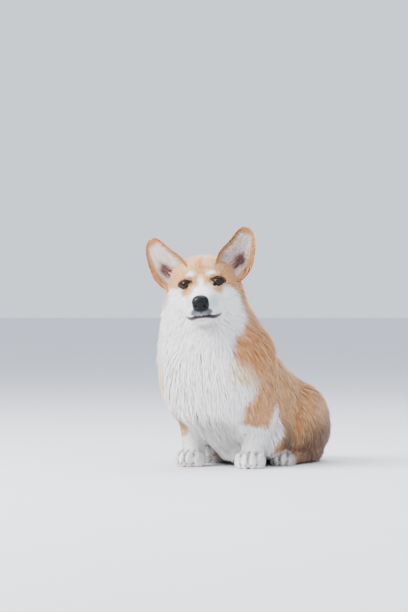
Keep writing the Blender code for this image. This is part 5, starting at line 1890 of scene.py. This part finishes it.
def build_claws():
    """All claws: curved cones that taper from an oval root to a blunt tip."""
    forms = []
    t = np.linspace(0, 1, 14)[:, None]
    a = np.linspace(0, 2 * math.pi, 14, endpoint=False)[None, :]
    for _, side in SIDES:
        for middle, toe_out, size in (fore_place(side), hind_place(side)):
            scale = np.array((1.0, *size[1:]))
            for at, lean in placed_toes(middle, toe_out, size):
                root = at + lean @ (np.array(CLAW_ROOT) * scale)
                way = unit(lean @ np.array(CLAW_WAY))
                across = unit(np.cross(way, UP))
                up = np.cross(across, way)
                thick = CLAW_RADIUS * (1 - 0.80 * t**1.6)
                path = root + way * (CLAW_START + CLAW_LENGTH * t) + UP * CLAW_DROP * t * t
                rings = (path[:, None]
                         + across * (CLAW_THINNESS * thick * np.cos(a))[..., None]
                         + up * (thick * np.sin(a))[..., None])
                forms.append(shell(rings))
    replaced = [f"claw_{end}_{side}_{i}" for end in ("fore", "hind") for _, side in SIDES
                for i in range(1, 5)]
    made, nodes, links = material("claw horn", {"Roughness": 0.32})
    two_toned(nodes, links, grain_of(nodes, 260.0), *CLAW_TONES)
    add_piece("claws", *merged(forms), "claw", made, replaced)


WHISKER_SEED = 11
WHISKER_ROWS = 3
WHISKERS_OF_ROW = 4
WHISKER_LENGTH = (0.020, 0.034)
WHISKER_RADIUS = 0.00022
WHISKER_SAG = (0.0, -0.010, -0.006)
WHISKER_TONE = (0.75, 0.73, 0.70, 1.0)


def build_whiskers():
    """Fine whiskers from rows of spots on the muzzle."""
    rng = np.random.default_rng(WHISKER_SEED)
    forms = []
    t = np.linspace(0, 1, 8)[:, None]
    for side in (1, -1):
        for row in range(WHISKER_ROWS):
            for spot in range(WHISKERS_OF_ROW):
                root = np.array((side * (0.0165 + 0.0020 * spot + 0.001 * row),
                                 0.062 - 0.008 * spot, -0.047 - 0.0048 * row))
                way = unit(np.array((side * (0.9 + 0.1 * spot), 0.25 - 0.25 * spot,
                                     -0.25 - 0.12 * row)) + rng.normal(0, 0.06, 3))
                length = rng.uniform(*WHISKER_LENGTH)
                path = root + way * length * t + np.array(WHISKER_SAG) * t * t
                forms.append(tube(from_head(path), WHISKER_RADIUS * (1.02 - t.ravel()), 5))
    made = material("whisker", {"Base Color": WHISKER_TONE, "Roughness": 0.4})[0]
    add_piece("whiskers", *merged(forms), "white_coat", made)


CAMERA_AT = np.array((2.3090, -3.7613, 0.3096))
CAMERA_AZIMUTH = 32.0
LENS = 135.0
SENSOR = 36.0
FLOOR_REACH = 60.0
LAMP_AIM = (0.0, 0.0, 0.2)

# Lamps: the name that they and their power's setting have, place, size and colour.
LAMPS = (("key", (-1.4, -2.6, 2.6), 2.4, (1.0, 0.98, 0.95)),
         ("fill", (3.0, -1.4, 1.6), 2.6, (0.95, 0.97, 1.0)),
         ("top", (0.0, 0.6, 3.2), 3.0, (1.0, 1.0, 1.0)))


def build_floor(tone):
    """The pale floor, a little cloudy."""
    mesh = bpy.data.meshes.new("floor")
    corners = [(x * FLOOR_REACH, y * FLOOR_REACH, 0)
               for x, y in ((-1, -1), (1, -1), (1, 1), (-1, 1))]
    mesh.from_pydata(corners, [], [(0, 1, 2, 3)])
    made, nodes, links = material("floor", {"Roughness": 0.85})
    two_toned(nodes, links, grain_of(nodes, 3.0), dimmed(tone, 0.96), dimmed(tone, 1.03))
    mesh.materials.append(made)
    linked("floor", mesh)


def build_lights(stage):
    """The studio's even light and its three soft lamps."""
    world = bpy.data.worlds.new("studio")
    bpy.context.scene.world = world
    world.use_nodes = True
    set_inputs(world.node_tree.nodes["Background"],
               {"Color": (*stage.sky, 1.0), "Strength": stage.sky_strength})
    for name, at, size, tone in LAMPS:
        light = bpy.data.lights.new(name, "AREA")
        light.shape, light.size, light.color = "DISK", size, tone
        light.energy = getattr(stage, name)
        lamp = linked(name, light)
        lamp.location = at
        aim = Vector(LAMP_AIM) - Vector(at)
        lamp.rotation_euler = aim.to_track_quat("-Z", "Y").to_euler()


def build_stage():
    """Pale floor, soft studio light and the camera at the photograph's place."""
    stage = bpy.context.scene.corgi_stage
    build_floor(stage.floor)
    build_lights(stage)
    camera = bpy.data.cameras.new("camera")
    camera.lens, camera.sensor_width, camera.sensor_fit = LENS, SENSOR, "AUTO"
    camera.clip_end = FLOOR_REACH
    view = linked("camera", camera)
    view.location = CAMERA_AT + BOX_SHIFT
    view.rotation_euler = (math.radians(90), 0, math.radians(CAMERA_AZIMUTH))
    bpy.context.scene.camera = view


def tone_property(name, description, default):
    """A colour setting."""
    return FloatVectorProperty(name=name, description=description, default=default,
                               subtype="COLOR", size=3, min=0.0, max=1.0)


class CorgiBody(bpy.types.PropertyGroup):
    """Fineness of the skin."""
    head_voxel: FloatProperty(name="Head detail", description="Size of the head's mesh",
                              default=0.0020, min=0.001, max=0.01, unit="LENGTH")
    foot_voxel: FloatProperty(name="Foot detail", description="Size of the feet's mesh",
                              default=0.0021, min=0.001, max=0.01, unit="LENGTH")
    body_voxel: FloatProperty(name="Body detail", description="Size of the body's mesh",
                              default=0.0036, min=0.002, max=0.02, unit="LENGTH")


class CorgiCoat(bpy.types.PropertyGroup):
    """Fullness and colours of the coat."""
    fullness: FloatProperty(name="Fullness", description="Share of the full number of tufts",
                            default=1.0, min=0.05, max=1.5)
    seed: IntProperty(name="Seed", description="Start of the random numbers", default=7)
    tan: tone_property("Tan", "Main colour of the flanks", (0.56, 0.275, 0.105))
    rich: tone_property("Rich tan", "Shoulder and ear rims", (0.52, 0.215, 0.065))
    rust: tone_property("Rust", "Back and forehead stripe", (0.40, 0.135, 0.036))
    fawn: tone_property("Fawn", "Cap and haunch", (0.66, 0.39, 0.19))
    # Brown is partly the coat's own colour low on the haunches, partly painted shade there; it
    # also tints the painted shade between the toes.
    brown: tone_property("Brown", "Low on the haunches", (0.16, 0.083, 0.044))
    cream: tone_property("Cream", "Where tan meets white", (0.80, 0.60, 0.40))
    white: tone_property("White", "Bib, legs and muzzle", (0.93, 0.915, 0.90))
    # Painted shade: white hair darkened for the shade below the chest, under the belly, on the
    # hind feet and under the chin.
    painted_shade_white: tone_property("Ash", "Shaded white below the chest", (0.62, 0.59, 0.57))
    # Painted shade and reflection: blue-grey on the muzzle's sides for their shade and above
    # the nose for the surround that the short hair reflects.
    painted_cool_shade: tone_property("Cool white", "Sides of the muzzle", (0.60, 0.65, 0.74))
    grey: tone_property("Grey", "Lip front and brow spots", (0.10, 0.105, 0.13))
    ear_hair: tone_property("Ear hair", "Pale hair in the ears", (0.62, 0.52, 0.48))
    # Dark red of the ear hollows: partly the ear's own skin, partly painted shade in the cup.
    ear_skin_and_shade: tone_property("Maroon", "Hollow of the ears", (0.10, 0.035, 0.035))


class CorgiFace(bpy.types.PropertyGroup):
    """Colours of eyes and nose."""
    iris: tone_property("Iris", "Colour of the iris", (0.026, 0.012, 0.007))
    nose: tone_property("Nose", "Colour of the nose", (0.004, 0.0045, 0.006))


class CorgiStage(bpy.types.PropertyGroup):
    """Floor and light."""
    floor: tone_property("Floor", "Colour of the floor", (0.72, 0.73, 0.77))
    sky: tone_property("Surround", "Colour of the light all round", (0.80, 0.86, 0.96))
    sky_strength: FloatProperty(name="Surround strength", description="Light all round",
                                default=1.38, min=0.0, max=5.0)
    key: FloatProperty(name="Key", description="Main lamp", default=385.0, unit="POWER")
    fill: FloatProperty(name="Fill", description="Side lamp", default=30.0, unit="POWER")
    top: FloatProperty(name="Top", description="Lamp above", default=120.0, unit="POWER")


class CORGI_OT_skin(bpy.types.Operator):
    """Build the skin that all flesh shares"""
    bl_idname = "corgi.skin"
    bl_label = "Skin"

    def execute(self, context):
        build_skin()
        return {"FINISHED"}


class CORGI_OT_coat(bpy.types.Operator):
    """Grow the coat over the skin"""
    bl_idname = "corgi.coat"
    bl_label = "Coat"

    def execute(self, context):
        build_coat()
        return {"FINISHED"}


class CORGI_OT_eyes(bpy.types.Operator):
    """Build eyeballs and lids"""
    bl_idname = "corgi.eyes"
    bl_label = "Eyes and lids"

    def execute(self, context):
        build_eyes()
        build_lids()
        return {"FINISHED"}


class CORGI_OT_muzzle(bpy.types.Operator):
    """Build nose leather, lips and whiskers"""
    bl_idname = "corgi.muzzle"
    bl_label = "Nose, lips and whiskers"

    def execute(self, context):
        build_nose()
        build_lips()
        build_whiskers()
        return {"FINISHED"}


class CORGI_OT_claws(bpy.types.Operator):
    """Build the claws"""
    bl_idname = "corgi.claws"
    bl_label = "Claws"

    def execute(self, context):
        build_claws()
        return {"FINISHED"}


class CORGI_OT_stage(bpy.types.Operator):
    """Build floor, lights and camera"""
    bl_idname = "corgi.stage"
    bl_label = "Stage"

    def execute(self, context):
        build_stage()
        return {"FINISHED"}


class CORGI_PT_panel(bpy.types.Panel):
    """Lists the pieces and their settings"""
    bl_idname = "CORGI_PT_panel"
    bl_label = "Corgi"
    bl_space_type = "VIEW_3D"
    bl_region_type = "UI"
    bl_category = "Corgi"

    def draw(self, context):
        for operator in OPERATORS:
            self.layout.operator(operator.bl_idname)
        for group, _ in GROUPS:
            settings = getattr(context.scene, group)
            box = self.layout.box()
            for name in settings.__annotations__:
                box.prop(settings, name)


OPERATORS = (CORGI_OT_skin, CORGI_OT_coat, CORGI_OT_eyes, CORGI_OT_muzzle, CORGI_OT_claws,
             CORGI_OT_stage)
GROUPS = (("corgi_body", CorgiBody), ("corgi_coat", CorgiCoat), ("corgi_face", CorgiFace),
          ("corgi_stage", CorgiStage))


def register():
    """Registers settings, operators and the panel."""
    for _, group in GROUPS:
        bpy.utils.register_class(group)
    for operator in OPERATORS:
        bpy.utils.register_class(operator)
    bpy.utils.register_class(CORGI_PT_panel)
    for name, group in GROUPS:
        setattr(bpy.types.Scene, name, PointerProperty(type=group))


def unregister():
    """Removes what register added, in the other order."""
    for name, _ in GROUPS:
        delattr(bpy.types.Scene, name)
    bpy.utils.unregister_class(CORGI_PT_panel)
    for operator in reversed(OPERATORS):
        bpy.utils.unregister_class(operator)
    for _, group in reversed(GROUPS):
        bpy.utils.unregister_class(group)


def main():
    """Builds every stage."""
    register()
    bpy.ops.corgi.skin()
    bpy.ops.corgi.coat()
    bpy.ops.corgi.eyes()
    bpy.ops.corgi.muzzle()
    bpy.ops.corgi.claws()
    bpy.ops.corgi.stage()


if __name__ == "__main__":
    main()
